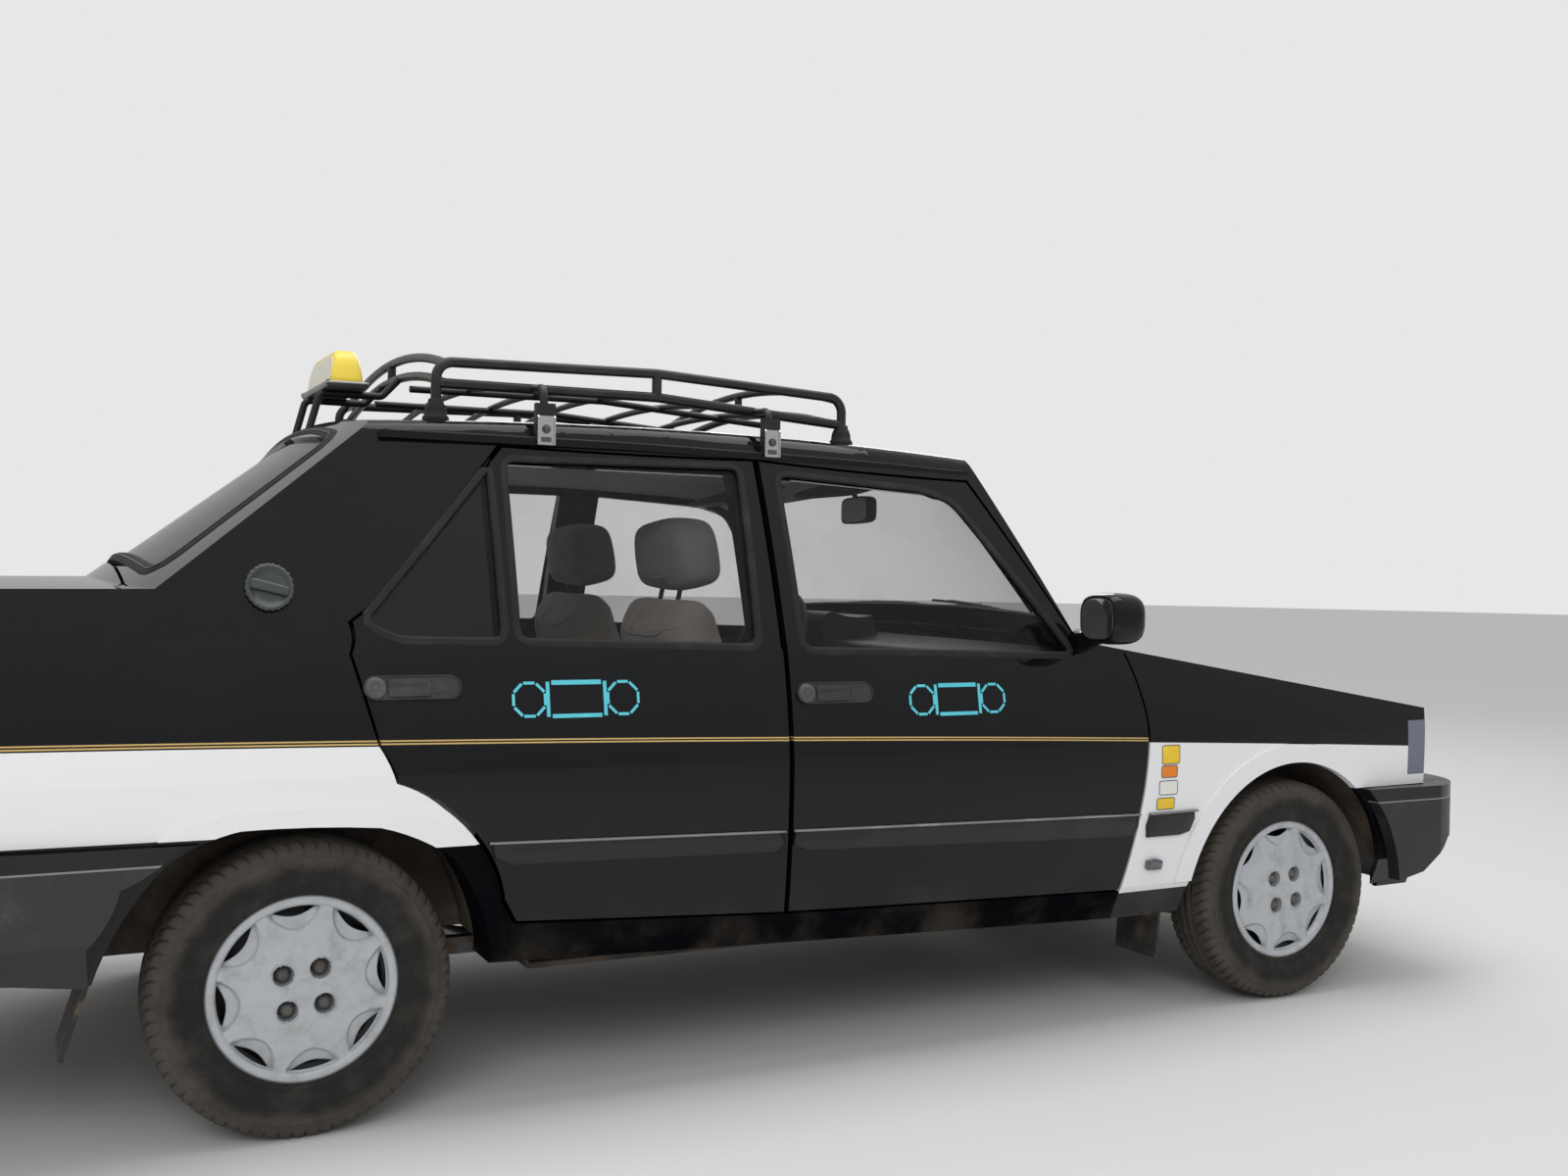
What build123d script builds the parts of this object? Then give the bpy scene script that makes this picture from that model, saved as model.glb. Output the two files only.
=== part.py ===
from build123d import *
from math import cos, radians, sin, sqrt
import os

# A four-door three-box saloon used as a taxi cab, with a tubular roof rack and a roof sign.
# Millimetres. X points forward, Y to the left, Z up; the ground is Z = 0 and X = 0 is mid length.

# Overall sizes
overall_length = 4264.0
front_overhang = 715.0
wheelbase = 2490.0
body_width = 1650.0
roof_height = 1436.0
front_track = 1372.0
rear_track = 1322.0

front_x = overall_length / 2 - front_overhang
rear_x = front_x - wheelbase
half_width = body_width / 2
nose_tip_x = overall_length / 2
tail_tip_x = -overall_length / 2
nose_x = nose_tip_x - 232.0
tail_x = tail_tip_x + 87.0

# Wheels and what carries them
tyre_radius = 287.0
tyre_width = 166.0
bead_radius = 163.0
sidewall_radius = 222.0
shoulder_radius = 270.0
shoulder_step = 10.0
tread_step = 34.0
bead_inset = 10.0
rim_width = 128.0
stub_radius = 24.0
stub_length = 62.0
running_clearance = 0.05
end_play = 5.0
trim_slots = 8
wheel_bolts = 4
bolt_circle_radius = 49.0
bolt_recess_radius = 20.0
stub_root = 45.0
hub_edge = 40.0
trim_slot_radius = 52.0
trim_slot_centre = 194.0
trim_edge_radius = 158.0
trim_reach = 19.0
kingpin_y = front_track / 2 - 90.0
kingpin_radius = 17.0
upright_reach = 45.0
disc_radius = 100.0
drum_radius = 118.0
link_y = 480.0
axle_tube_radius = 36.0
gear_housing_radius = 112.0
shaft_radius = 30.0
strut_radius = 24.0

# Heights and tucks of the body's section, from the sill to the roof rail
sill_bottom_z = 262.0
sill_top_z = 345.0
crease_z = 700.0
belt_z = 932.0
rail_z = 1355.0
section_top_z = 1560.0
sill_tuck = 57.0
sill_step = 19.0
belt_tuck = 42.0
rail_tuck = 220.0
plan_radius = 45000.0
plan_mid_x = front_x - 1567.0
side_bulge = 7.0
belt_bulge = 5.0
cabin_bulge = 15.0

# Wall thicknesses
door_wall = 72.0
frame_wall = 26.0
pillar_wall = 64.0
sill_wall = 118.0
quarter_wall = 40.0
fender_wall = 15.0
lip_height = 7.0
lip_width = 50.0
rear_lip_width = 36.0
lid_wall = 24.0
roof_wall = 24.0
nose_wall = 30.0
sheet = 12.0
glass_wall = 5.0
glass_inset = 9.0

# Gaps
door_gap = 6.0
seal_gap = 6.0
frame_gap = 10.0
lid_gap = 5.0
seat_gap = 0.3

# Long edges of the body in side view, as (x, z) at the panel's side edge
hood_rear = (front_x - 564.0, 922.0)
hood_front = (front_x + 560.0, 742.0)
screen_foot = (front_x - 679.0, 938.0)
screen_head = (front_x - 926.0, 1339.0)
deck_z = 1047.0
back_foot = (rear_x - 300.0, 1050.0)
back_head = (rear_x + 145.0, 1392.0)
roof_mid_x = front_x - 1717.0
roof_radius = 11000.0

# How far each panel bows out at the centre line
hood_bow = 22.0
screen_bow = 85.0
deck_bow = 14.0
back_bow = 45.0
nose_bow = 60.0
tail_bow = 40.0
roof_bow = 24.0
roof_edge_radius = 45.0

# Where the panels meet
firewall_x = front_x - 505.0
cabin_rear_x = rear_x - 140.0
hood_half_width = half_width - 93.0
lid_half_width = half_width - 185.0
cowl_half_width = half_width - 125.0
lid_face_half = half_width - 355.0
shelf_z = (940.0, 952.0)
strip_z = (880.0, 1088.0)
cowl_z = (820.0, 1010.0)
hood_front_x = nose_x - 20.0
hood_front_z = 742.0
lid_front_x = back_foot[0] - 14.0
lid_bottom_z = 640.0
boot_floor_z = 430.0
floor_z = 272.0
toe_board_z = 500.0
tunnel_half = 105.0
tunnel_top_z = 410.0
tail_bottom_z = 396.0
bumper_top_z = 547.0
rear_bumper_top_z = 594.0
tow_eye_radius = 14.0
tow_eye_thickness = 12.0
tow_eye_drop = 20.0
plate_hole_spacing = 300.0
plate_hole_radius = 3.5
plate_z = 485.0
b_gap_x = front_x - 1501.0

# Glass outlines on their slopes, as (half width, height up the slope, bulge)
screen_rows = [(0, 26), (706, 60, -20), (552, 424), (0, 440, 12)]
back_rows = [(0, 45), (602, 45), (508, 492), (0, 502, 8)]

# Wheel openings
front_arch_centre = (front_x - 17.0, 278.0)
front_arch_radius = 350.0
liner_radius = 372.0
liner_wall = 8.0
rear_arch_half_room = 420.0
rear_arch_inner_y = half_width - 290.0

# Lamps and grille
grille_half = half_width - 425.0
grille_z = (575.0, 728.0)
grille_bars = 7
grille_frame = 14.0
grille_bar = 8.0
grille_post = 6.0
lamp_inner = half_width - 410.0
lamp_outer = half_width - 135.0
lamp_z = (575.0, 722.0)
lamp_depth = 55.0
corner_x = nose_x - 70.0
corner_lap = 20.0
tail_lamp_inner = half_width - 345.0
tail_lamp_x = tail_x + 55.0
tail_lamp_z = (690.0, 860.0)

# Bumpers
bumper_corner_y = half_width - 225.0
bumper_wall = 36.0
bumper_side_inset = 3.0
bumper_side_wall = 37.0
stay_y = (half_width - 445.0, half_width - 385.0)

# Roof rack, over the roof's middle
rack_half = half_width - 295.0
rack_rear_x = rear_x + 285.0
rack_mid_x = front_x - 1707.0
rack_front_x = front_x - 1233.0
rack_top = ((rack_rear_x, 1529.0), (rack_mid_x, 1539.0), (rack_front_x, 1514.0))
rack_deck = ((rack_rear_x, 1484.0), (rack_mid_x, 1486.0), (rack_front_x, 1451.0))
rack_bar = 11.0
hoop_bar = 10.0
slat_bar = 8.0
clamp_bar = 8.5
hoop_inset = 24.0
hoop_half = rack_half - 3.0
slat_count = 5
runner_y = 190.0
rack_arch = 58.0
slat_arch = 32.0
foot_radius = 22.0
foot_height = 44.0
clamp_places = (rear_x + 495.0, front_x - 1464.0)
clamp_half = 21.0
clamp_z = (1366.0, 1446.0)

# Roof sign
sign_x = rear_x + 174.0
sign_z = 1503.0
sign_half = 160.0
sign_base = 14.0
sign_height = 76.0

# Seats, dashboard and steering
seat_y = half_width - 480.0
seat_half = 245.0
headrest_half = 130.0
seat_x = front_x - 1417.0
bench_half = half_width - 185.0
wheel_centre = (front_x - 990.0, half_width - 470.0, 855.0)
column_lean = 24.0
steering_radius = 190.0
steering_rim = 13.0
spoke_width = 34.0
column_radius = 22.0

# Under the floor
bay_wall_y = half_width - 407.0
mount_wall_y = bay_wall_y - seat_gap
engine_half = 210.0
radiator_half = 300.0
pipe_y = 170.0
silencer_y = 345.0
pipe_radius = 21.0
silencer_radius = 72.0

# Fuel cap, mirrors and flaps
fuel_cap_lean = (0.0, -0.94, 0.34)
fuel_cap_x = rear_x - 74.0
fuel_cap_z = 1052.0
fuel_cap_radius = 45.0
fuel_cap_depth = 15.0
mirror_x = front_x - 705.0
mirror_z = 1002.0
mirror_size = (110.0, 176.0, 122.0)
mirror_rounding = 26.0
flap_outer_y = half_width - 90.0
flap_inner_y = half_width - 250.0
front_flap_outer_y = half_width - 95.0
flap_thickness = 8.0
flap_bottom_z = (140.0, 203.0)

# How far a cutting block reaches past the body
reach = half_width + 275.0
far = overall_length
sky_z = roof_height + 264.0


def arc_middle(a, b, bulge):
    """The middle of an arc from a to b that stands bulge to the left of the chord."""
    dx, dy = b[0] - a[0], b[1] - a[1]
    chord = sqrt(dx * dx + dy * dy)
    return ((a[0] + b[0]) / 2 - dy / chord * bulge, (a[1] + b[1]) / 2 + dx / chord * bulge)


def outline(plane, rows):
    """A closed face from rows of (u, v) or (u, v, bulge of the edge that ends there)."""
    edges = []
    for before, row in zip([rows[-1], *rows[:-1]], rows):
        a, b = tuple(before[:2]), tuple(row[:2])
        if a == b:
            continue
        if len(row) > 2 and row[2]:
            edges.append(ThreePointArc(a, arc_middle(a, b, row[2]), b))
        else:
            edges.append(Line(a, b))
    return plane * make_face(edges)


def prism(plane, rows, low, high):
    """The outline carried along the plane's normal from low to high."""
    return extrude(outline(plane.offset(low), rows), high - low)


def mirrored_rows(rows):
    """Rows that start and end on the centre line, closed by their mirror image."""
    bulges = [row[2] if len(row) > 2 else 0 for row in rows]
    back = [(-rows[i][0], rows[i][1], bulges[i + 1]) for i in range(len(rows) - 2, -1, -1)]
    back = [row for row in back if row[0] != 0]
    return [*rows, *back]


def side_prism(rows, inner=300.0, outer=reach):
    """A region of the right side given in side view, between two distances from the centre line."""
    return prism(Plane.XZ, rows, inner, outer)


def across(rows, half):
    """A side view outline carried across the car to the given half width on each side."""
    return prism(Plane.XZ, rows, -half, half)


def plan_prism(rows, low_z, high_z):
    """Rows of (y, x), mirrored about the centre line, between two heights."""
    plane = Plane(origin=(0, 0, 0), x_dir=(0, 1, 0), z_dir=(0, 0, -1))
    return prism(plane, mirrored_rows(rows), -high_z, -low_z)


def box(x, y, z):
    """A block between pairs of limits."""
    size = (abs(x[1] - x[0]), abs(y[1] - y[0]), abs(z[1] - z[0]))
    middle = ((x[0] + x[1]) / 2, (y[0] + y[1]) / 2, (z[0] + z[1]) / 2)
    return Pos(*middle) * Box(*size)


def tube(points, radius, bend):
    """A round bar along points, its corners bent to the given radius."""
    path = FilletPolyline(*points, radius=bend) if len(points) > 2 else Line(*points)
    return sweep(Plane(path @ 0, z_dir=path % 0) * Circle(radius), path=path)


def rod(a, b, radius):
    """A straight round bar from a to b."""
    along = Vector(*b) - Vector(*a)
    return extrude(Plane(origin=a, z_dir=along) * Circle(radius), along.length)


def left_of(shape):
    return mirror(shape, about=Plane.XZ)


def both_sides(shape):
    """The shape and its mirror image on the left."""
    return Compound(children=[*shape.solids(), *left_of(shape).solids()])


def keep(name, *shapes):
    """Writes one node."""
    solids = [solid for shape in shapes for solid in shape.solids()]
    export_step(solids[0] if len(solids) == 1 else Compound(children=solids), f"parts/{name}.step")


# The body as one volume, from which its panels are cut

def outside(start, end, bow, bow_half, inset):
    """What lies outside a bowed panel whose side edges run from start to end in side view."""
    along = Vector(end[0] - start[0], 0, end[1] - start[1])
    plane = Plane(origin=(start[0], 0, start[1]), x_dir=(0, 1, 0), z_dir=along.normalized())
    radius = (bow_half**2 + bow**2) / (2 * bow)
    edge = sqrt(radius**2 - reach**2) - radius + bow - inset
    face = make_face([
        ThreePointArc((-reach, edge), (0, bow - inset), (reach, edge)),
        Line((reach, edge), (reach, far)),
        Line((reach, far), (-reach, far)),
        Line((-reach, far), (-reach, edge)),
    ])
    return extrude(plane.offset(-far) * face, along.length + far + far)


def above_roof(inset):
    """What lies above the roof, which is arched both ways."""
    top = roof_height - inset
    radius = (580.0**2 + roof_bow**2) / (2 * roof_bow)
    edge = sqrt(radius**2 - reach**2) - radius
    face = Plane(origin=(roof_mid_x, 0, top), x_dir=(0, 1, 0), z_dir=(1, 0, 0)) * make_face([
        ThreePointArc((-reach, edge), (0, 0), (reach, edge)),
        Line((reach, edge), (reach, 500)),
        Line((reach, 500), (-reach, 500)),
        Line((-reach, 500), (-reach, edge)),
    ])
    axis = Axis((roof_mid_x, 0, top - roof_radius), (0, 1, 0))
    return revolve(face, axis, 12) + revolve(face, axis, -12)


def rail_half_width(z):
    """Half width of the cabin's side above the belt, before it bulges."""
    belt_half, rail_half = half_width - belt_tuck, half_width - rail_tuck
    return belt_half + (rail_half - belt_half) * (z - belt_z) / (rail_z - belt_z)


def skin_half_width(x, z):
    """Half width of the cabin's skin at a place above the belt, with its bulge and its curve in plan."""
    share = (z - belt_z) / (section_top_z - belt_z)
    bulge = 4 * cabin_bulge * share * (1 - share)
    return rail_half_width(z) + bulge - (x - plan_mid_x) ** 2 / (2 * plan_radius)


def beside(low, high, bottom):
    """What lies to the left of the body's left side, curved in plan as well as in section."""
    rows = [
        (half_width - sill_tuck - low, bottom - 300),
        (half_width - sill_tuck - low, sill_bottom_z),
        (half_width - sill_step - low, sill_top_z),
        (half_width - low, crease_z, -side_bulge),
        (half_width - belt_tuck - low, belt_z, -belt_bulge),
    ]
    if high != low:
        rows.append((half_width - belt_tuck - high, belt_z))
    rows.append((rail_half_width(section_top_z) - high, section_top_z, -cabin_bulge))
    rows += [(reach, section_top_z), (reach, bottom - 300)]
    face = outline(Plane(origin=(plan_mid_x, 0, 0), x_dir=(0, 1, 0), z_dir=(1, 0, 0)), rows)
    axis = Axis((plan_mid_x, half_width - plan_radius, 0), (0, 0, 1))
    return revolve(face, axis, 3.2) + revolve(face, axis, -3.2)


def body_volume(low=0.0, high=0.0, bottom=sill_bottom_z, roof=0.0, hood=0.0, deck=0.0,
                nose=0.0, tail=0.0, screen=0.0, back=0.0):
    """The whole body as a solid, each of its faces taken in by its own wall."""
    wide = half_width + 50
    volume = box((tail_x - 100, nose_x + 150), (-wide, wide), (bottom, roof_height + 104))
    side = beside(low, high, bottom)
    over_hood = outside(hood_rear, hood_front, hood_bow, 780.0, hood)
    over_deck = outside((tail_x - 150, deck_z - 6), back_foot, deck_bow, 700.0, deck)
    before_screen = outside(screen_head, screen_foot, screen_bow, 700.0, screen)
    behind_back = outside(back_foot, back_head, back_bow, 620.0, back)
    volume = volume - side - left_of(side)
    volume -= above_roof(roof)
    volume -= over_hood & before_screen
    volume -= over_deck & behind_back
    volume -= outside((nose_x, 950), (nose_x - 10, 150), nose_bow, 790.0, nose)
    volume -= outside((tail_x + 6, 150), (tail_x - 6, 1150), tail_bow, 790.0, tail)
    return volume


# Panel outlines in side view, right side. Rows are (x, z) or (x, z, bulge).

def front_door_rows(gap):
    """The front door's outline, taken in by gap."""
    x = front_x
    return [
        (b_gap_x + gap, 363 + gap),
        (x - 582 - gap, 335 + gap),
        (x - 537 - gap, 519, -3),
        (x - 512 - gap, 700, -4),
        (x - 524 - gap, 798, -4),
        (x - 566 - gap, 915, -3),
        (x - 690 - gap, 921),
        (x - 936 - gap, 1328 - gap),
        (b_gap_x + gap, 1352 - gap, 4),
    ]


def rear_door_rows(gap):
    """The rear door's outline, taken in by gap and a little more where its frame swings past."""
    x = rear_x
    extra = frame_gap - door_gap if gap else 0
    return [
        (x + 385 + gap, 395 + gap),
        (b_gap_x - gap, 363 + gap),
        (b_gap_x - gap, belt_z),
        (b_gap_x - gap - extra, belt_z),
        (b_gap_x - gap - extra, 1352 - gap),
        (x + 393 + gap + extra, 1354 - gap, 3),
        (x + 171 + gap + extra, 1092),
        (x + 66 + gap + extra, 990, 6),
        (x + 66 + gap, 930, 6),
        (x + 116 + gap, 758),
        (x + 150 + gap, 685, 3),
        (x + 241 + gap, 632 + gap, 6),
        (x + 311 + gap, 560 + gap, 4),
        (x + 360 + gap, 440 + gap, 8),
    ]


def front_window_rows():
    x = front_x
    return [(b_gap_x + 44, 929), (x - 719, 911), (x - 991, 1276), (x - 1080, 1301, 8),
            (b_gap_x + 45, 1324, 6)]


def rear_window_rows():
    x = rear_x
    return [(x + 396, 951), (b_gap_x - 60, 936), (b_gap_x - 42, 1334), (x + 401, 1326, 3),
            (x + 401, 951)]


def quarter_window_rows():
    x = rear_x
    return [(x + 106, 982), (x + 160, 955, -6), (x + 372, 951), (x + 372, 1312), (x + 100, 998, 4)]


def front_opening_rows():
    """The hole behind the front door, inside its seal."""
    x = front_x
    return [(b_gap_x + 60, 400), (x - 630, 375), (x - 590, 560), (x - 572, 880), (x - 735, 930),
            (x - 960, 1285), (b_gap_x + 60, 1312)]


def rear_opening_rows():
    """The hole behind the rear door, inside its seal."""
    x = rear_x
    return [(x + 430, 430), (b_gap_x - 60, 400), (b_gap_x - 60, 1312), (x + 405, 1314),
            (x + 400, 960), (x + 120, 945), (x + 170, 740), (x + 300, 660), (x + 370, 560)]


def rear_arch_rows(more=0.0):
    """The rear wheel's opening, flatter on top than a circle."""
    x = rear_x
    return [(x - 375 - more, 200), (x + 345 + more, 200), (x + 340 + more, 345),
            (x + 262 + more, 535 + more, -12), (x + 120, 604 + more, -8), (x - 130, 612 + more, -4),
            (x - 270 - more, 540 + more, -12), (x - 375 - more, 345, -12)]


def front_arch(radius, inner, outer):
    """A round block that clears the front wheel's opening on the right side."""
    x, z = front_arch_centre
    return rod((x, -inner, z), (x, -outer, z), radius)


def slope_plane(foot, head):
    """A plane in a sloping panel: X across the car, Y up the slope, origin at its foot."""
    up = Vector(head[0] - foot[0], 0, head[1] - foot[1]).normalized()
    return Plane(origin=(foot[0], 0, foot[1]), x_dir=(0, 1, 0), z_dir=Vector(0, 1, 0).cross(up))


def aperture(foot, head, rows):
    """A prism through a sloping panel with the outline of its glass."""
    return prism(slope_plane(foot, head), mirrored_rows(rows), -260, 260)


# Panels of the body shell

def cabin_hollow():
    """The room between the firewall and the rear wall of the cabin, open below."""
    room = body_volume(low=sill_wall, high=pillar_wall, bottom=200, roof=roof_wall,
                       hood=60, deck=40, nose=60, tail=60, screen=20, back=20)
    return room & box((cabin_rear_x, firewall_x), (-reach, reach), (150, sky_z))


def boot_hollow():
    """The room behind the cabin, open below."""
    room = body_volume(low=quarter_wall, high=quarter_wall, bottom=200, roof=roof_wall,
                       hood=60, deck=lid_wall, nose=60, tail=nose_wall, screen=20, back=20)
    return room & box((tail_x - 200, cabin_rear_x), (-reach, reach), (150, sky_z))


def bay_hollow():
    """The engine's room, open below."""
    room = body_volume(low=fender_wall, high=fender_wall, bottom=200, roof=roof_wall,
                       hood=lid_wall, deck=30, nose=nose_wall, tail=30, screen=20, back=20)
    return room & box((firewall_x, nose_x + 200), (-reach, reach), (150, sky_z))


def roof_region():
    """Everything above the gutters, with the strips above the front and back glass."""
    x = front_x
    rows = [(-1400, 1362), (-381, 1362), (141 - 35, 1352), (x - 860, 1337), (x - 780, 1337),
            (x - 780, sky_z), (-1400, sky_z)]
    region = across(rows, reach)
    region += box((x - 1000, x - 780), (-552, 552), (1270, 1500))
    return region + box((-1200, rear_x + 240), (-508, 508), (1330, 1500))


def gutter():
    """The drip rail above the right doors."""
    x = front_x
    rows = [(rear_x + 150, 1357), (-381, 1357), (x - 1270, 1347), (x - 930, 1334), (x - 928, 1348),
            (x - 1270, 1362), (-381, 1372), (rear_x + 150, 1371)]
    return side_prism(rows, 588, 622)


def roof_panel(shell, glass):
    panel = (shell & roof_region()) - glass
    rail = gutter() - inner_roof
    return panel + rail + left_of(rail)


def door_recess(rows):
    """What a closed door fills, with its seal gap behind."""
    return side_prism(rows) - seat_volume


def side_frame(shell, glass):
    """The right side's sill, pillars, quarter panel and hinge pillar in one pressing."""
    x = front_x
    frame = shell & box((tail_x - 100, firewall_x - 6), (-reach, -300), (150, 1400))
    frame -= box((x - 820, x), (-cowl_half_width, 0), cowl_z)
    frame -= box((hood_rear[0], x), (-hood_half_width, 0), cowl_z)
    frame -= box((tail_x - 200, lid_front_x), (-lid_half_width, 0), (150, 1400))
    frame -= box((tail_x - 200, cabin_rear_x + 40), (-lid_half_width, 0), strip_z)
    frame = frame - roof_region() - glass
    frame -= door_recess(front_door_rows(0)) + door_recess(rear_door_rows(0))
    frame -= side_prism(front_opening_rows()) + side_prism(rear_opening_rows())
    frame -= side_prism(rear_arch_rows())
    frame -= side_prism(fender_rows()) - behind_fender
    frame -= side_prism([(-far, 0), (far, 0), (far, 250), (854, 262), (-711, 318), (rear_x - 380, 350),
                         (tail_x, tail_bottom_z), (-far, tail_bottom_z)])
    frame = frame - gutter() - tail_lamp_block(seat_gap)
    frame = max(frame.solids(), key=lambda solid: solid.volume)
    opening = side_prism(rear_arch_rows(), 600, reach)
    wide = side_prism(rear_arch_rows(rear_lip_width), 600, reach)
    return frame + arch_lip(opening, wide, rear_bumper_top_z + 2, sill_top_z + 5)


def fender_rows():
    """The fender's outline: its rear edge follows the door's."""
    x = front_x
    return [(x - 582, 262), (x - 582, 335), (x - 537, 519, -3), (x - 512, 700, -4),
            (x - 524, 798, -4), (x - 566, 915, -3), (x - 567, 1000), (nose_x + 100, 1000),
            (nose_x + 100, 262)]


def front_fender():
    """The right front fender, from the door's edge to the lamp at the corner."""
    wall = (outer - bay_inner) & side_prism(fender_rows(), hood_half_width)
    wall -= front_arch(front_arch_radius, 300, reach)
    wall -= corner_lamp_block(seat_gap)
    wall = max(wall.solids(), key=lambda solid: solid.volume)
    opening = front_arch(front_arch_radius, 600, reach)
    wide = front_arch(front_arch_radius + lip_width, 600, reach)
    return wall + arch_lip(opening, wide, sill_top_z, bumper_top_z + seat_gap + 2)


def arch_lip(opening, wider, low_z, front_z):
    """The rolled edge that stands proud around a right wheel's opening, down to low_z and front_z."""
    middle_x = (opening.bounding_box().min.X + opening.bounding_box().max.X) / 2
    kept = box((middle_x - reach, middle_x), (-reach, -600), (low_z, belt_z))
    kept += box((middle_x, middle_x + reach), (-reach, -600), (front_z, belt_z))
    return ((wider - opening) & lip_volume & kept) - outer


def hood_region(gap):
    half = hood_half_width - gap
    rear = hood_rear[0] + 5 + gap
    front = hood_front_x - 12 - gap
    rows = [(0, rear + 38), (half, rear, 9.5), (half, front), (0, front + 52, -13)]
    return plan_prism(rows, hood_front_z - 80, sky_z)


def hood():
    lid = (outer - bay_inner) & hood_region(lid_gap / 2)
    cut = box((front_x - 417, far), (-reach, reach), (0, hood_front_z - 30))
    return lid - cut


def cowl_panel(shell, glass):
    """The panel below the windscreen, ahead of it to the hood's rear edge."""
    x = front_x
    half = cowl_half_width - seat_gap
    block = box((x - 820, hood_rear[0] + 60), (-half, half), cowl_z)
    panel = ((outer - cowl_inner) & block) - glass - hood_region(-lid_gap / 2)
    return max(panel.solids(), key=lambda solid: solid.volume)


def lid_region(gap):
    half = lid_half_width - gap
    side = [(tail_x - 200, deck_z - 150), (lid_front_x - gap, deck_z - 150), (lid_front_x - gap, 1200),
            (tail_x - 200, 1200)]
    low = lid_face_half - gap
    face = box((tail_x - 200, tail_x + 60), (-low, low), (lid_bottom_z + gap, deck_z))
    return across(side, half) + face


def boot_lid():
    return (outer - boot_inner) & lid_region(lid_gap / 2)


def rear_panels(shell, glass):
    """The strip below the back window with its shelf, and the tail panel."""
    half = lid_half_width - 1
    strip = shell & box((lid_front_x + lid_gap / 2, cabin_rear_x + 40), (-half, half), strip_z)
    strip = strip - glass
    shelf = box((rear_x + 60, lid_front_x + 20), (-half, half), shelf_z)
    post = box((lid_front_x + 4, lid_front_x + 26), (-half, half), (940, 1040))
    strip = strip + shelf + (post & outer)
    tail = (outer - boot_inner) & box((tail_x - 200, tail_x + 100), (-half, half), (tail_bottom_z, 1100))
    tail = tail - lid_region(-lid_gap / 2) - tail_lamp_block(seat_gap)
    tail += tow_eye(rear_x - 957, 360, tail_bottom_z - tow_eye_drop)
    return [strip, tail]


def tow_eye(x, y, z):
    """A plate with a round eye, hanging from a panel's lower edge."""
    half = tow_eye_thickness / 2
    plate = box((x - 26, x + 26), (y - half, y + half), (z - 24, z + 36))
    return plate - rod((x, y - 20, z), (x, y + 20, z), tow_eye_radius)


def plate_holes(x, z):
    """Two screw holes for a number plate, drilled along the car through a bumper's face."""
    half = plate_hole_spacing / 2
    return rod((x - 70, half, z), (x + 70, half, z), plate_hole_radius) + rod(
        (x - 70, -half, z), (x + 70, -half, z), plate_hole_radius)


def nose_panel():
    """The front panel around the grille and lamps, and the apron below the bumper."""
    half = hood_half_width - 1
    panel = (outer - bay_inner) & box((nose_x - 120, nose_x + 200), (-half, half), (sill_bottom_z, 1000))
    panel = panel - hood_region(-lid_gap / 2)
    panel -= box((nose_x - 200, nose_x + 200), (-grille_half, grille_half), grille_z)
    corner = corner_lamp_block(seat_gap)
    panel = panel - headlamp_block(seat_gap) - corner - left_of(corner)
    return panel + tow_eye(front_x + 513, -360, sill_bottom_z - tow_eye_drop)


def headlamp_block(more):
    block = box((nose_x - 90, nose_x + 200), (-lamp_outer - more, -lamp_inner + more),
                (lamp_z[0] - more, lamp_z[1] + more))
    return block + left_of(block)


def corner_lamp_block(more):
    return box((corner_x - more, nose_x + 200), (-reach, -lamp_outer - corner_lap + more),
               (lamp_z[0] - more, lamp_z[1] + more))


def tail_lamp_block(more):
    block = box((tail_x - 200, tail_lamp_x + more), (-reach, -tail_lamp_inner + more),
                (tail_lamp_z[0] - more, tail_lamp_z[1] + more))
    return block + left_of(block)


def lamps(block):
    """Lamp bodies flush with the skin, as deep as a lamp's bowl."""
    inner = body_volume(low=lamp_depth, high=lamp_depth, bottom=200, nose=70, tail=60, hood=5, deck=5)
    return (outer - inner) & block


def grille():
    """Black bars in a frame, across the nose between the headlamps."""
    low, high = grille_z[0] + seat_gap, grille_z[1] - seat_gap
    half = grille_half - seat_gap
    around = (nose_x - 90, nose_x + 90)
    bars = (body_volume(nose=4) - body_volume(nose=24)) & box(around, (-half, half), (low, high))
    pitch = (high - low - grille_frame) / grille_bars
    for row in range(grille_bars):
        z = low + grille_frame + pitch * row
        slot = box(around, (grille_post, half - grille_frame), (z, z + pitch - grille_bar))
        bars = bars - slot - left_of(slot)
    return bars


def front_bumper():
    """A deep moulding that wraps the nose and reaches back to the wheel openings."""
    x, tip, low = front_x, nose_tip_x, 400
    side_y, inner_y = half_width - bumper_side_inset, half_width - bumper_side_inset - bumper_side_wall
    plan = [(0, tip), (bumper_corner_y, tip - 40, 14), (side_y, x + 500, 48), (side_y, x + 180),
            (0, x + 180)]
    hollow = [(0, tip - bumper_wall), (bumper_corner_y - 20, tip - 74, 14), (inner_y, x + 490, 44),
              (inner_y, x + 100), (0, x + 100)]
    side = [(x + 212, bumper_top_z), (tip + 20, bumper_top_z - 2), (tip + 20, low), (x + 555, low - 2),
            (x + 437, 315), (x + 250, 278), (x + 228, 420, -6)]
    bumper = plan_prism(plan, 250, bumper_top_z + 13) & across(side, reach)
    bumper = bumper - plan_prism(hollow, 200, bumper_top_z - 27) - outer_plus
    stays = box((x + 470, tip - 40), stay_y, (470, 530))
    stays = (stays + left_of(stays)) - outer_plus
    clear = front_arch(liner_radius - 10, 300, reach)
    return (bumper + stays) - plate_holes(tip, plate_z) - clear - left_of(clear)


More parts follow.
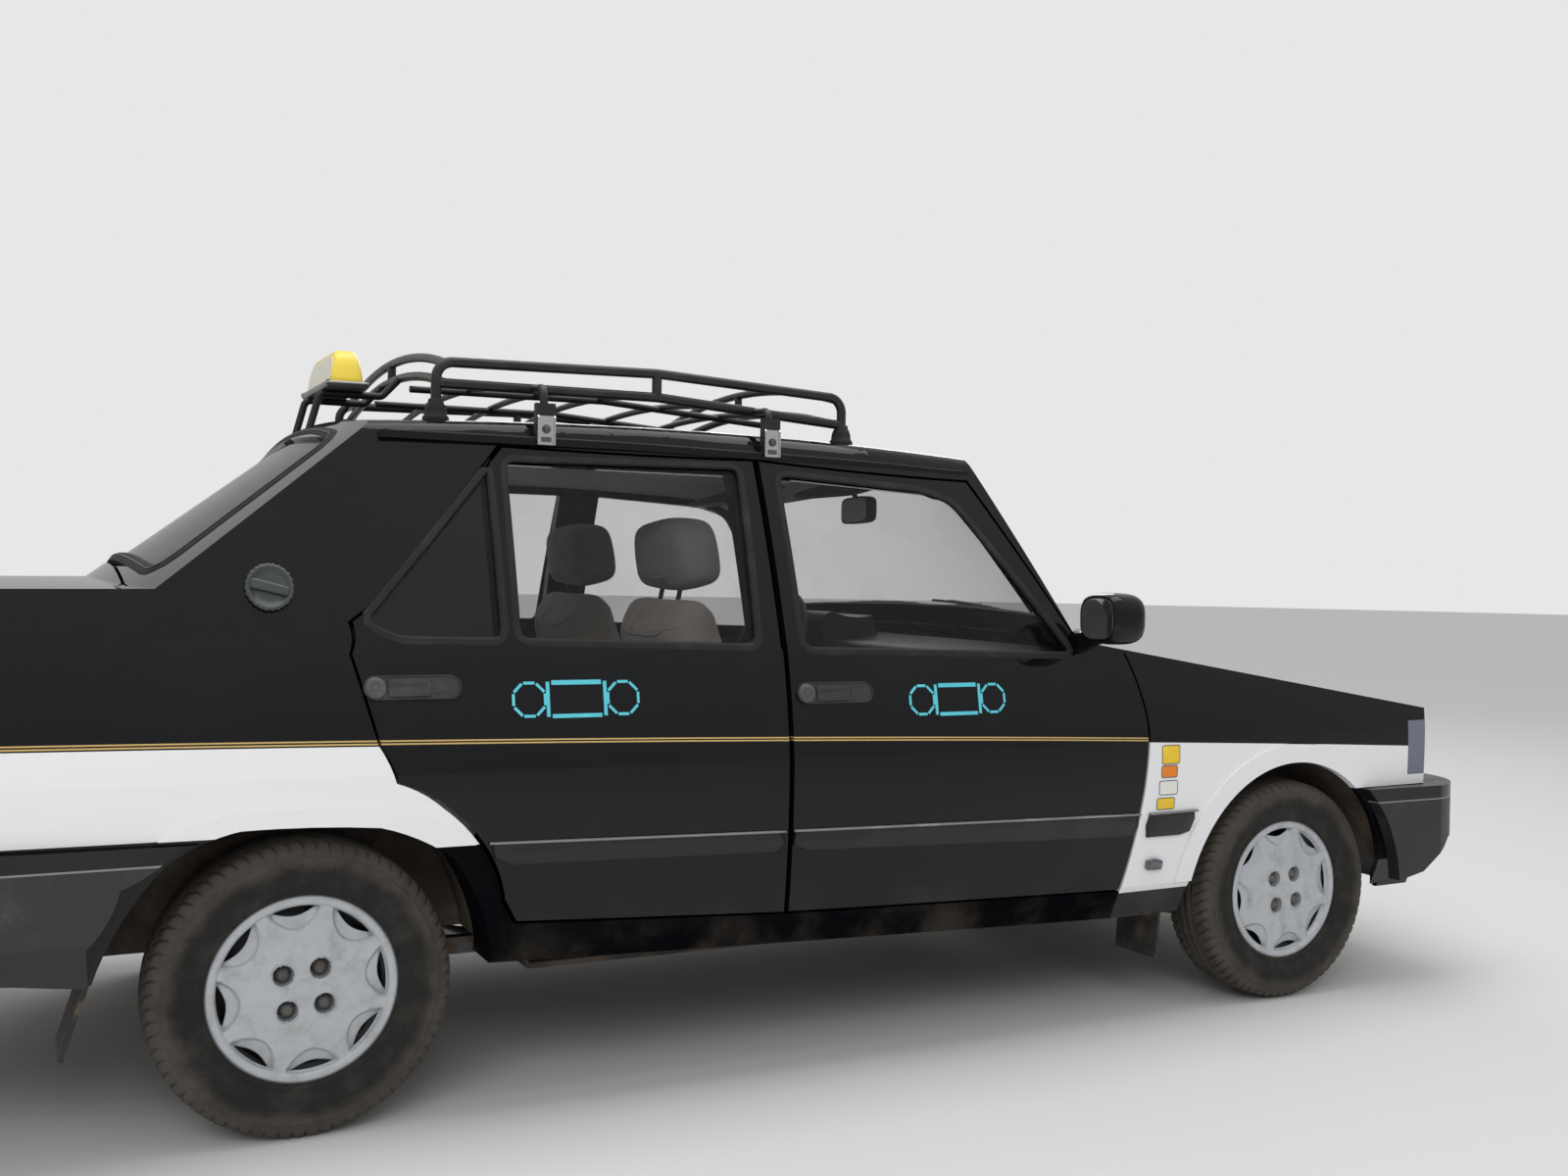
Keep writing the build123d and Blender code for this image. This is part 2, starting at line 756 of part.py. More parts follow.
def rear_bumper():
    """A deep moulding that wraps the tail and reaches forward to the wheel openings."""
    x, tip, low = rear_x, tail_tip_x, 400
    side_y, inner_y = half_width - bumper_side_inset, half_width - bumper_side_inset - bumper_side_wall
    top = rear_bumper_top_z
    plan = [(0, tip), (bumper_corner_y, tip + 30, -12), (side_y, x - 860, -48), (side_y, x - 150),
            (0, x - 150)]
    hollow = [(0, tip + bumper_wall), (bumper_corner_y - 20, tip + 64, -12), (inner_y, x - 850, -44),
              (inner_y, x - 100), (0, x - 100)]
    side = [(x - 200, top - 2), (tip - 20, top), (tip - 20, low), (x - 541, 374), (x - 380, 352),
            (x - 384, 420), (x - 330, 520, -8), (x - 230, top - 2, -8)]
    bumper = plan_prism(plan, 250, top + 26) & across(side, reach)
    bumper = bumper - plan_prism(hollow, 200, top - 28) - outer_plus - plate_holes(tip, plate_z)
    stays = box((tip + 20, tail_x + 10), stay_y, (500, 560))
    return bumper + ((stays + left_of(stays)) - outer_plus)


def floor_pan():
    """The floor from the firewall to the tail, with its kick-up and the tunnel for the shaft."""
    front, rear, x = firewall_x - 2, tail_x - 100, rear_x
    top = strip_z[0]
    rows = [(front, top), (front, toe_board_z), (front - 160, floor_z), (x + 470, floor_z),
            (x + 375, boot_floor_z), (rear, boot_floor_z), (rear, boot_floor_z - sheet),
            (x + 370, boot_floor_z - sheet), (x + 465, floor_z - sheet), (front - 155, floor_z - sheet),
            (front + sheet, toe_board_z - 10), (front + sheet, top)]
    half = half_width - sill_tuck - sill_wall - seat_gap
    wall = sill_wall + seat_gap
    beyond_sill = beside(wall, wall, sill_bottom_z) & box((x, front_x), (0, reach), (0, sill_top_z))
    pan = across(rows, half_width) & (box((x - 420, front_x), (-half, half), (0, 1000)) + boot_floor_room)
    pan = pan - beyond_sill - left_of(beyond_sill)
    room = rear_arch_half_room
    arch = box((x - room, x + room), (-reach, -rear_arch_inner_y), (200, 700))
    pan = pan - arch - left_of(arch)
    length = (x + 380, front + 5)
    half, top = tunnel_half, tunnel_top_z
    tunnel_rows = [(0, floor_z - 10), (half, floor_z - 10), (half - 15, top), (0, top)]
    inner_rows = [(0, 100), (half - 13, 100), (half - 27, top - 13), (0, top - 13)]
    tunnel = prism(Plane.YZ, mirrored_rows(tunnel_rows), *length)
    inner = prism(Plane.YZ, mirrored_rows(inner_rows), -reach, front + 30)
    return (pan + tunnel) - inner


def wheelhouses():
    """Liners above the wheels, and the engine bay's inner walls."""
    x, z = front_arch_centre
    front = front_arch(liner_radius + liner_wall, 430, half_width - 25)
    front -= front_arch(liner_radius, 300, reach)
    front &= box((0, x), (-reach, 0), (265, 900)) + box((x, far), (-reach, 0), (z + 60, 900))
    wall = box((firewall_x + 14, nose_x - 92), (-bay_wall_y - sheet, -bay_wall_y), (300, 800))
    front = ((front + wall) & bay_room) - strut(3)
    rear = side_prism(rear_arch_rows(16), half_width - 280, half_width - belt_tuck)
    rear -= side_prism(rear_arch_rows(6), half_width - 268, reach)
    rear = rear & rear_room & box((-far, 0), (-reach, 0), (345, 800))
    return front, rear


def engine_block():
    """The engine as one plain block, and the radiator behind the grille."""
    x = front_x
    block = box((x - 380, x + 150), (-engine_half, engine_half), (320, 740))
    radiator = box((x + 355, x + 392), (-radiator_half, radiator_half), (380, 690))
    for z in (400, 640):
        radiator += box((x + 360, x + 385), (-mount_wall_y, mount_wall_y), (z, z + 24))
    return block, radiator


def inset_rows(rows):
    """A glass outline taken in by the clearance around the glass."""
    inner = [(rows[0][0], rows[0][1] + 1)]
    inner += [(u - 1, v + 1 if k == 0 else v - 1, *rest) for k, (u, v, *rest) in enumerate(rows[1:3])]
    return inner + [(0, rows[3][1] - 1, rows[3][2])]


def screens():
    """Windscreen and back window, set into their apertures."""
    slab = glass_outer - glass_inner
    front = slab & aperture(screen_foot, screen_head, inset_rows(screen_rows))
    rear = slab & aperture(back_foot, back_head, inset_rows(back_rows))
    return front, rear


def deck_height(x):
    """Height of the rack's lower rail at a place along the car."""
    (x0, z0), (x1, z1), (x2, z2) = rack_deck
    return z0 + (z1 - z0) * (x - x0) / (x1 - x0) if x < x1 else z1 + (z2 - z1) * (x - x1) / (x2 - x1)


def hoop(x, z, rise, radius):
    """A cross bar that arches over the roof."""
    path = ThreePointArc((x, -hoop_half, z), (x, 0, z + rise), (x, hoop_half, z))
    return sweep(Plane(path @ 0, z_dir=path % 0) * Circle(radius), path=path)


def above(piece, roof):
    """What is left of a piece that stands on the roof once the roof is cut from it."""
    return max((piece - roof).solids(), key=lambda solid: solid.volume)


def rack_clamp(x):
    """A bent arm from the lower rail out to a plate that grips the right gutter."""
    z = deck_height(x)
    bend, end = (x, -rack_half - 76, z - 4), (x, -rack_half - 84, z - 74)
    arm = tube([(x, -rack_half, z), bend, end], clamp_bar, 24)
    plate = box((x - clamp_half, x + clamp_half), (-rack_half - 96, -rack_half - 78), clamp_z)
    return arm + plate


def roof_rack(roof):
    """A basket of bent tube: side frames, arched hoops and slats, standing on feet and gutter clamps."""
    feet = [(rack_rear_x, 1392), (rack_front_x, 1380)]
    top = [(x, -rack_half, z) for x, z in rack_top]
    side = tube([(feet[0][0], -rack_half, 1420), *top, (feet[1][0], -rack_half, 1412)], rack_bar, 36)
    side += tube([(x, -rack_half, z) for x, z in rack_deck], rack_bar, 200)
    mid_x = rack_top[1][0]
    side += rod((mid_x, -rack_half, rack_deck[1][1]), (mid_x, -rack_half, rack_top[1][1]), rack_bar)
    for x, z in feet:
        side += above(rod((x, -rack_half, z), (x, -rack_half, z + foot_height), foot_radius), roof)
    for x in clamp_places:
        side += above(rack_clamp(x), roof)
    rack = side + left_of(side)
    rear, front = rack_rear_x + hoop_inset, rack_front_x - hoop_inset
    for x, z_top in ((rear, rack_top[0][1] - 3), (front, rack_top[2][1] - 2)):
        rack += hoop(x, z_top, rack_arch, hoop_bar)
        rack += hoop(x, deck_height(x), rack_arch, hoop_bar)
        rack += rod((x, 0, deck_height(x) + rack_arch), (x, 0, z_top + rack_arch), hoop_bar)
    for k in range(slat_count):
        x = rack_rear_x + (rack_front_x - rack_rear_x) * (k + 1) / (slat_count + 1)
        rack += hoop(x, deck_height(x), slat_arch, slat_bar)
    for y in (-runner_y, runner_y):
        rise = slat_arch * (1 - (y / rack_half) ** 2) - 6
        middle = (mid_x, y, deck_height(mid_x) + rise)
        rack += rod((rear, y, deck_height(rack_rear_x) + rise), middle, slat_bar)
        rack += rod(middle, (front, y, deck_height(rack_front_x) + rise), slat_bar)
        rack += above(sign_bar(y / 2), roof)
    return rack


def taxi_sign():
    """A lit box across the roof that tapers to a rounded top, on a pale base."""
    half, base_half = sign_half, sign_half + 16
    base = box((sign_x - 50, sign_x + 50), (-base_half, base_half), (sign_z, sign_z + sign_base))
    base = fillet(base.edges().filter_by(Axis.Z), 12)
    low = sign_z + sign_base + seat_gap
    top, knee = low + sign_height, low + sign_height - 24
    rows = [(-half, low), (half, low), (half - 14, knee), (half - 44, top, -8), (44 - half, top),
            (14 - half, knee, -8)]
    front = outline(Plane.YZ.offset(sign_x - 60), rows)
    side = across([(sign_x - 36, low), (sign_x + 36, low), (sign_x + 24, top), (sign_x - 24, top)], 2 * half)
    return base, extrude(front, 120) & side


def sign_bar(y):
    """A bent bar from the rack's rear hoop back under the sign and down to the roof's rear edge."""
    z = sign_z - clamp_bar - seat_gap
    start = (rack_rear_x + hoop_inset, y, deck_height(rack_rear_x) + rack_arch)
    path = [start, (rack_rear_x - 20, y, z), (sign_x - 50, y, z), (sign_x - 76, y, 1396)]
    return tube(path, clamp_bar, 18)


def make_wheel(x, y, side):
    """A pressed wheel with its trim: eight lens-shaped openings near the rim and a recess at each bolt."""
    half = rim_width / 2
    r = bead_radius - seat_gap
    spin = Axis((x, y, tyre_radius), (0, 1, 0))

    def ring(rows):
        """A revolved part: rows of (radius, distance out from the wheel's middle)."""
        plane = Plane(origin=(x, y, tyre_radius), x_dir=(1, 0, 0), z_dir=(0, 0, side))
        return revolve(outline(plane, rows), spin)

    lip, edge = r + 18, r + trim_reach
    rim = ring([(r - 10, -half - 2), (lip, -half - 2), (lip, 0.5 - half), (r, 9 - half), (r, -40),
                (r - 18, -22), (r - 18, 22), (r, 38), (r, half - 9), (lip, half - 0.5), (lip, half + 2),
                (r - 10, half + 2), (r - 10, 36), (r - 26, 20), (r - 26, -24), (r - 10, -44)])
    disc = ring([(0, 24), (hub_edge, 24), (112, 10), (r - 22, 10), (r - 22, 18), (115, 18),
                 (hub_edge + 20, 32), (0, 32)])
    trim = ring([(0, half - 1), (108, half - 3.5), (150, half - 6.5), (152, half + 1.5), (edge, half + 1.5),
                 (edge, half + 4), (178, half + 8.5), (157, half + 8), (148, half - 1.5),
                 (108, half + 1.5), (0, half + 4)])
    hub = ring([(0, -40), (hub_edge, -40), (hub_edge, half + 2), (0, half + 2)])
    body = rim + disc + trim + hub
    body -= ring([(0, -50), (stub_radius + running_clearance, -50),
                  (stub_radius + running_clearance, stub_length - stub_root + end_play),
                  (0, stub_length - stub_root + end_play)])
    dished = flat_cylinder(trim_edge_radius, half + 20)
    middle = Pos(x, y, tyre_radius)
    for k in range(trim_slots):
        turn = Rot(0, 360 / trim_slots * (k + 0.5), 0)
        lens = Pos(trim_slot_centre, 0, 0) * flat_cylinder(trim_slot_radius, half + 20) & dished
        body -= middle * turn * side_of(lens, side, 42)
    for k in range(wheel_bolts):
        turn = Rot(0, 360 / wheel_bolts * (k + 0.5), 0)
        recess = Pos(bolt_circle_radius, 0, 0) * flat_cylinder(bolt_recess_radius, half + 20)
        body -= middle * turn * side_of(recess, side, 42)
    return body


def flat_cylinder(radius, height):
    """A cylinder along the wheel's axle, the same length on both sides of the wheel's middle."""
    return Rot(90, 0, 0) * Cylinder(radius, 2 * height)


def side_of(shape, side, start):
    """The part of a cutter that lies beyond start on the wheel's outer side."""
    return shape & box((-reach, reach), (side * start, side * reach), (-reach, reach))


def make_tyre(x, y, side):
    """A solid tyre of eight faces: bead, sidewalls, shoulders and tread."""
    half = tyre_width / 2
    bead = rim_width / 2 - bead_inset
    plane = Plane(origin=(x, y, tyre_radius), x_dir=(1, 0, 0), z_dir=(0, 0, side))
    outer_half = [(bead_radius, bead), (sidewall_radius, half), (shoulder_radius, half - shoulder_step),
                  (tyre_radius, half - tread_step)]
    rows = [(radius, -across) for radius, across in outer_half[::-1]] + outer_half
    return revolve(outline(plane, rows), Axis((x, y, tyre_radius), (0, 1, 0)))


def knuckle():
    """The right front upright: a post on the kingpin, its stub shaft and its steering arm."""
    x, y, z = front_x, -kingpin_y, tyre_radius
    post = rod((x, y, 180.5), (x, y, 405), kingpin_radius)
    reached = upright_reach
    web = box((x - reached, x + reached), (y - 14, y + 12), (z - reached, z + reached))
    stub = rod((x, y, z), (x, -front_track / 2 - stub_length + stub_root, z), stub_radius)
    arm = box((x - 140, x - 10), (y - 2, y + 14), (z - 62, z - 44))
    brake = rod((x, y - 12, z), (x, y - 20, z), disc_radius)
    return post + web + stub + arm + brake


def strut(more=0.0):
    """The right front spring strut."""
    x, z = front_x, tyre_radius
    return rod((x, -kingpin_y + 44, z + 122), (x - 8, -kingpin_y + 66, 692), strut_radius + more)


def front_suspension():
    """The crossmember under the engine, the lower arms and the struts."""
    x = front_x
    beam = box((x - 60, x + 60), (-mount_wall_y, mount_wall_y), (262, 320 - seat_gap))
    arm = prism(Plane.XY, [(x - 150, -360), (x + 90, -360), (x + 22, -612), (x - 22, -612)], 168, 180)
    hanger = box((x - 150, x + 60), (-400, -350), (168, 264))
    tower = box((x - 90, x + 80), (-560, -bay_wall_y - sheet - seat_gap), (690, 702))
    right = arm + hanger
    upper = strut() + tower + box((x - 20, x + 20), (-kingpin_y - 16, -kingpin_y + 60), (405.5, 417))
    return beam + right + left_of(right), upper, left_of(upper)


def rear_axle():
    """A live axle with its gear housing, trailing links, dampers and the propeller shaft."""
    x, z = rear_x, tyre_radius
    tip = rear_track / 2 + stub_length - stub_root
    axle = rod((x, -tip, z), (x, tip, z), stub_radius) + rod((x, -585, z), (x, 585, z), axle_tube_radius)
    housing = Pos(x, 0, z) * Sphere(gear_housing_radius) & box((x - 100, x + 100), (-90, 90), (0, 600))
    drums = rod((x, -600, z), (x, -560, z), drum_radius) + rod((x, 600, z), (x, 560, z), drum_radius)
    axle = axle + housing + drums
    boot_under = boot_floor_z - sheet - seat_gap
    for y in (-link_y, link_y):
        link = box((x, x + 420), (y - 14, y + 14), (z - 20, z + 16))
        axle += link - box((x + 395, x + 500), (-reach, reach), (0, 262))
        damper = rod((x - 40, y, z), (x - 70, y, boot_floor_z + 10), 22)
        axle += damper & box((x - 200, x), (-reach, reach), (0, boot_under))
    shaft = rod((x + 90, 0, z), (front_x - 420, 0, 330), shaft_radius)
    return axle + shaft


def exhaust():
    """A pipe from the engine to the tail, with its silencer and hangers."""
    x, front_y, over_y, tail_y = rear_x, -pipe_y, -pipe_y - 105, -silencer_y
    pipe = tube([(front_x - 470, front_y, 232), (x + 440, front_y, 226), (x + 180, over_y, 362),
                 (x - 170, over_y, 362), (x - 380, tail_y, 330), (tail_x - 40, tail_y, 322)],
                pipe_radius, 90)
    silencer = rod((x - 460, tail_y, 330), (x - 860, tail_y, 328), silencer_radius)
    boot_under, floor_under = boot_floor_z - sheet - seat_gap, floor_z - sheet - seat_gap
    hangers = box((x - 680, x - 650), (tail_y - 20, tail_y + 20), (380, boot_under))
    hangers += box((0, 30), (front_y - 20, front_y + 20), (232, floor_under))
    return pipe + silencer + hangers


def front_seats():
    """Two front seats with high head restraints, on plinths that stand on the floor."""
    x, low = seat_x, floor_z + 168
    rows = [(x - 60, low), (x + 440, low + 35), (x + 452, low + 105, -8), (x + 420, low + 132, -14),
            (x, low + 95), (x - 145, low + 570), (x - 190, low + 582, -10), (x - 240, low + 560, -10),
            (x - 110, low + 40, -12)]
    rest = [(x - 150, low + 595), (x - 95, low + 600), (x - 80, low + 740, 6), (x - 150, low + 760, -12),
            (x - 190, low + 740, -10), (x - 195, low + 605)]
    seats = []
    for y in (-seat_y, seat_y):
        seat = prism(Plane.XZ, rows, -y - seat_half, -y + seat_half)
        seat += prism(Plane.XZ, rest, -y - headrest_half, -y + headrest_half)
        for out in (-50, 50):
            seat += rod((x - 160, y + out, low + 560), (x - 140, y + out, low + 610), 6)
        seats.append(seat + box((x - 40, x + 380), (y - 190, y + 190), (floor_z + seat_gap, low + 15)))
    return seats


def rear_seat():
    """A bench across the car, with its back against the boot's wall."""
    x = rear_x
    low = boot_floor_z + seat_gap
    rows = [(x + 300, low), (x + 700, low), (x + 720, 530), (x + 690, 580, -12), (x + 300, 545, 6),
            (x + 130, 930, 8), (x + 60, 938, -12), (x + 60, 900), (x + 200, low)]
    arch = box((x - rear_arch_half_room, x + 380), (-reach, -rear_arch_inner_y - 5), (200, 640))
    return across(rows, bench_half) - arch - left_of(arch)


def dashboard():
    """A padded top, a face with its instrument hood, and a shelf below."""
    x = front_x
    front = firewall_x - 2 - seat_gap
    rows = [(front, 650), (front, strip_z[0]), (x - 560, 900), (x - 690, 925), (x - 850, 905, 8),
            (x - 880, 870, -12), (x - 860, 780), (x - 840, 640)]
    board = across(rows, half_width - 65)
    hood_rows = [(x - 880, 860), (x - 700, 915), (x - 720, 975), (x - 850, 985, 10), (x - 890, 960, -8)]
    binnacle = prism(Plane.XZ, hood_rows, -wheel_centre[1] - 165, 165 - wheel_centre[1])
    column_hole = steering_plane() * Pos(0, 0, -150) * Cylinder(column_radius + 0.5, 300)
    return ((board + binnacle) - column_hole) & body_volume(
        low=sill_wall + seat_gap, high=pillar_wall + seat_gap, bottom=0, screen=30, hood=61)


def steering_plane():
    lean = radians(column_lean)
    return Plane(origin=wheel_centre, z_dir=(-cos(lean), 0, sin(lean)))


def steering_wheel():
    plane = steering_plane()
    rim = plane * Torus(steering_radius, steering_rim)
    hub = plane * Pos(0, 0, -12) * Cylinder(46, 40)
    spokes = plane * Pos(0, 0, -6) * Box(spoke_width, 2 * steering_radius - 4, 14)
    spokes += plane * Pos(0, 0, -6) * Box(2 * steering_radius - 4, spoke_width, 14)
    column = plane * Pos(0, 0, -90) * Cylinder(column_radius, 140)
    return rim + hub + spokes + column


def door(rows, *windows):
    """A door as thick as the car's side, with its windows cut through."""
    panel = (outer & side_prism(rows)) - door_volume
    for window in windows:
        panel -= side_prism(window)
    return panel


def shrunk(rows, gap):
    """An outline of straight and gently curved edges taken in by gap."""
    face = outline(Plane.XY, rows)
    return offset(face, amount=-gap)


def glass_in(rows):
    """Glass that fills a side window's opening less its seat gap."""
    flat = shrunk(rows, seat_gap)
    solid = extrude(Plane.XZ.offset(300) * flat, 700)
    return (glass_outer - glass_inner) & solid


def mirror_housing():
    """The right door mirror: a rounded housing on a short foot."""
    out = half_width + mirror_size[1] / 3
    shell = Pos(mirror_x, -out, mirror_z) * Box(*mirror_size)
    shell = fillet(shell.edges(), mirror_rounding)
    x, z = mirror_x + 5, mirror_z - 17
    start, end = (x, 90 - half_width, z - 30), (x, -half_width - 30, z)
    foot = rod(start, end, 20)
    return (shell + foot) - body_volume(low=-seat_gap, high=-seat_gap)


def fuel_cap():
    """A round cap with a finger bar, sunk in the right quarter panel."""
    y = fuel_cap_depth - skin_half_width(fuel_cap_x, fuel_cap_z)
    lean = Plane(origin=(fuel_cap_x, y, fuel_cap_z), z_dir=fuel_cap_lean)
    bar = Box(70, 16, 14)
    cap = lean * Pos(0, 0, 6) * Cylinder(fuel_cap_radius, 20) + lean * Pos(0, 0, 20) * bar
    return cap - outer_plus


def mud_flaps():
    """A flap behind each wheel, hung on its liner."""
    x, low = rear_x, flap_bottom_z[1]
    rows = [(x - 351, 400), (x - 351 - flap_thickness, 400), (x - 380.4, 346), (x - 424, low + 2),
            (x - 424 + flap_thickness, low), (x - 372, 344)]
    rear = prism(Plane.XZ, rows, flap_inner_y, flap_outer_y)
    x, low = front_arch_centre[0] - liner_radius - liner_wall - seat_gap, flap_bottom_z[0]
    front = prism(Plane.XZ, [(x, 292), (x - 7, 292), (x - 17, low), (x - 10, low)], flap_inner_y,
                  front_flap_outer_y)
    return front, rear


os.makedirs("parts", exist_ok=True)

outer = body_volume()
roof_edges = [edge for edge in outer.edges() if edge.length > 500 and edge.center().Z > rail_z + 25
              and abs(edge.center().Y) > 500 and abs((edge % 0.5).X) > 0.9]
outer = fillet(roof_edges, roof_edge_radius)
lip_volume = body_volume(low=-lip_height, high=-lip_height, bottom=100)
outer_plus = body_volume(low=-seat_gap, high=-seat_gap, bottom=100, nose=-seat_gap, tail=-seat_gap,
                         hood=-seat_gap, deck=-seat_gap)
inner_roof = body_volume(high=5, roof=5)
cabin_room = cabin_hollow()
boot_inner = boot_hollow()
bay_room = bay_hollow()
behind = fender_wall + seat_gap
behind_fender = body_volume(low=behind, high=behind, bottom=0, hood=lid_wall + seat_gap)
floor_wall = quarter_wall + seat_gap
boot_floor_room = body_volume(low=floor_wall, high=floor_wall, bottom=200, tail=nose_wall + seat_gap)
boot_floor_room &= box((tail_x - 200, rear_x - 419), (-reach, reach), (200, 1000))
rear_room = body_volume(low=floor_wall, high=floor_wall, bottom=0)
rear_room &= box((-far, cabin_rear_x), (-reach, reach), (0, 1000))
beside_seat = body_volume(low=sill_wall + seat_gap, high=sill_wall, bottom=0)
rear_room += beside_seat & box((cabin_rear_x, 0), (-reach, reach), (0, 1000))
bay_inner = body_volume(low=fender_wall, high=fender_wall, bottom=200, hood=lid_wall, nose=nose_wall)
cowl_inner = body_volume(low=20, high=20, bottom=200, hood=14, screen=14)
door_volume = body_volume(low=door_wall, high=frame_wall, bottom=0)
seat_volume = body_volume(low=door_wall + seal_gap, high=frame_wall + seal_gap, bottom=0)
inset = glass_inset
glass_outer = body_volume(low=inset, high=inset, bottom=0, roof=inset, screen=inset, back=inset)
inset = glass_inset + glass_wall
glass_inner = body_volume(low=inset, high=inset, bottom=0, roof=inset, screen=inset, back=inset)
screen_holes = aperture(screen_foot, screen_head, screen_rows) + aperture(back_foot, back_head, back_rows)
shell = outer - cabin_room - boot_inner - bay_room

roof = roof_panel(shell, screen_holes)
keep("roof_panel", roof)
keep("side_frames", both_sides(side_frame(shell, screen_holes)))
keep("front_fenders", both_sides(front_fender()))
keep("hood", hood())
keep("cowl_panel", cowl_panel(shell, screen_holes))
keep("boot_lid", boot_lid())
keep("rear_panels", *rear_panels(shell, screen_holes))
keep("nose_panel", nose_panel())
keep("headlamps", lamps(headlamp_block(0)), both_sides(lamps(corner_lamp_block(0))))
keep("tail_lamps", lamps(tail_lamp_block(0)))
keep("grille", grille())
keep("front_bumper", front_bumper())
keep("rear_bumper", rear_bumper())
keep("floor_pan", floor_pan())
keep("wheelhouses", *[both_sides(liner) for liner in wheelhouses()])
keep("engine_block", *engine_block())
keep("screens", *screens())
keep("roof_rack", roof_rack(roof))
keep("taxi_sign", *taxi_sign())
keep("fuel_cap", fuel_cap())
keep("mud_flaps", *[both_sides(flap) for flap in mud_flaps()])
keep("front_suspension", *front_suspension())
keep("rear_axle", rear_axle())
keep("exhaust", exhaust())
keep("front_seats", *front_seats())
keep("rear_seat", rear_seat())
keep("dashboard", dashboard())
keep("steering_wheel", steering_wheel())

door_pieces = {
    "door_front": door(front_door_rows(door_gap), front_window_rows()),
    "door_rear": door(rear_door_rows(door_gap), rear_window_rows(), quarter_window_rows()),
    "door_glass_front": glass_in(front_window_rows()),
    "door_glass_rear": Compound(children=[*glass_in(rear_window_rows()).solids(),
                                          *glass_in(quarter_window_rows()).solids()]),
    "mirror": mirror_housing(),
    "knuckle": knuckle(),
}
for name, piece in door_pieces.items():
    keep(name + "_right", piece)
    keep(name + "_left", left_of(piece))

wheel_places = {
    "front_right": (front_x, -front_track / 2, -1),
    "front_left": (front_x, front_track / 2, 1),
    "rear_right": (rear_x, -rear_track / 2, -1),
    "rear_left": (rear_x, rear_track / 2, 1),
}
for name, place in wheel_places.items():
    keep("wheel_" + name, make_wheel(*place))
    keep("tyre_" + name, make_tyre(*place))
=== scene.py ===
from math import cos, pi, radians, sin

import bmesh
import bpy
import numpy as np
from mathutils import Matrix, Vector
from mathutils.bvhtree import BVHTree


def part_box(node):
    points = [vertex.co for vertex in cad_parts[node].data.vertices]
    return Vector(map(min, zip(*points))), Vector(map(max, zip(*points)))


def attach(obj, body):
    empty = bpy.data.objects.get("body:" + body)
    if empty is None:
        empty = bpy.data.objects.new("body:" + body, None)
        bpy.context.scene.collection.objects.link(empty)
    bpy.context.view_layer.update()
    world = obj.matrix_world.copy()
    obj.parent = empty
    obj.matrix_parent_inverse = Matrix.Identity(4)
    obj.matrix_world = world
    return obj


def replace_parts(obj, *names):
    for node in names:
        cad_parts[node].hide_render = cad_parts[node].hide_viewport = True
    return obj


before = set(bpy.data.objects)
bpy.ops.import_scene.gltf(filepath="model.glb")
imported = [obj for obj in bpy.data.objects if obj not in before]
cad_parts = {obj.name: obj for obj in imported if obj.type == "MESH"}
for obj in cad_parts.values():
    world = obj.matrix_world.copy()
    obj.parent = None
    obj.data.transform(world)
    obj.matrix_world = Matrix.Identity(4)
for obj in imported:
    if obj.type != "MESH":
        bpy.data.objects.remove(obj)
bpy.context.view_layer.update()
print("frame loaded:", len(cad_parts), "nodes")


# Shader maths: a Field is one output socket, a Finish is one material's tree

class Field:

    def __init__(self, finish, socket):
        self.finish, self.socket = finish, socket


def fieldMath(operation, swapped=False):
    def apply(self, other):
        return self.finish.math(operation, *((other, self) if swapped else (self, other)))
    return apply


for sign, operation in (("add", "ADD"), ("sub", "SUBTRACT"), ("mul", "MULTIPLY"), ("truediv", "DIVIDE")):
    setattr(Field, f"__{sign}__", fieldMath(operation))
    setattr(Field, f"__r{sign}__", fieldMath(operation, True))
Field.__gt__, Field.__lt__ = fieldMath("GREATER_THAN"), fieldMath("LESS_THAN")


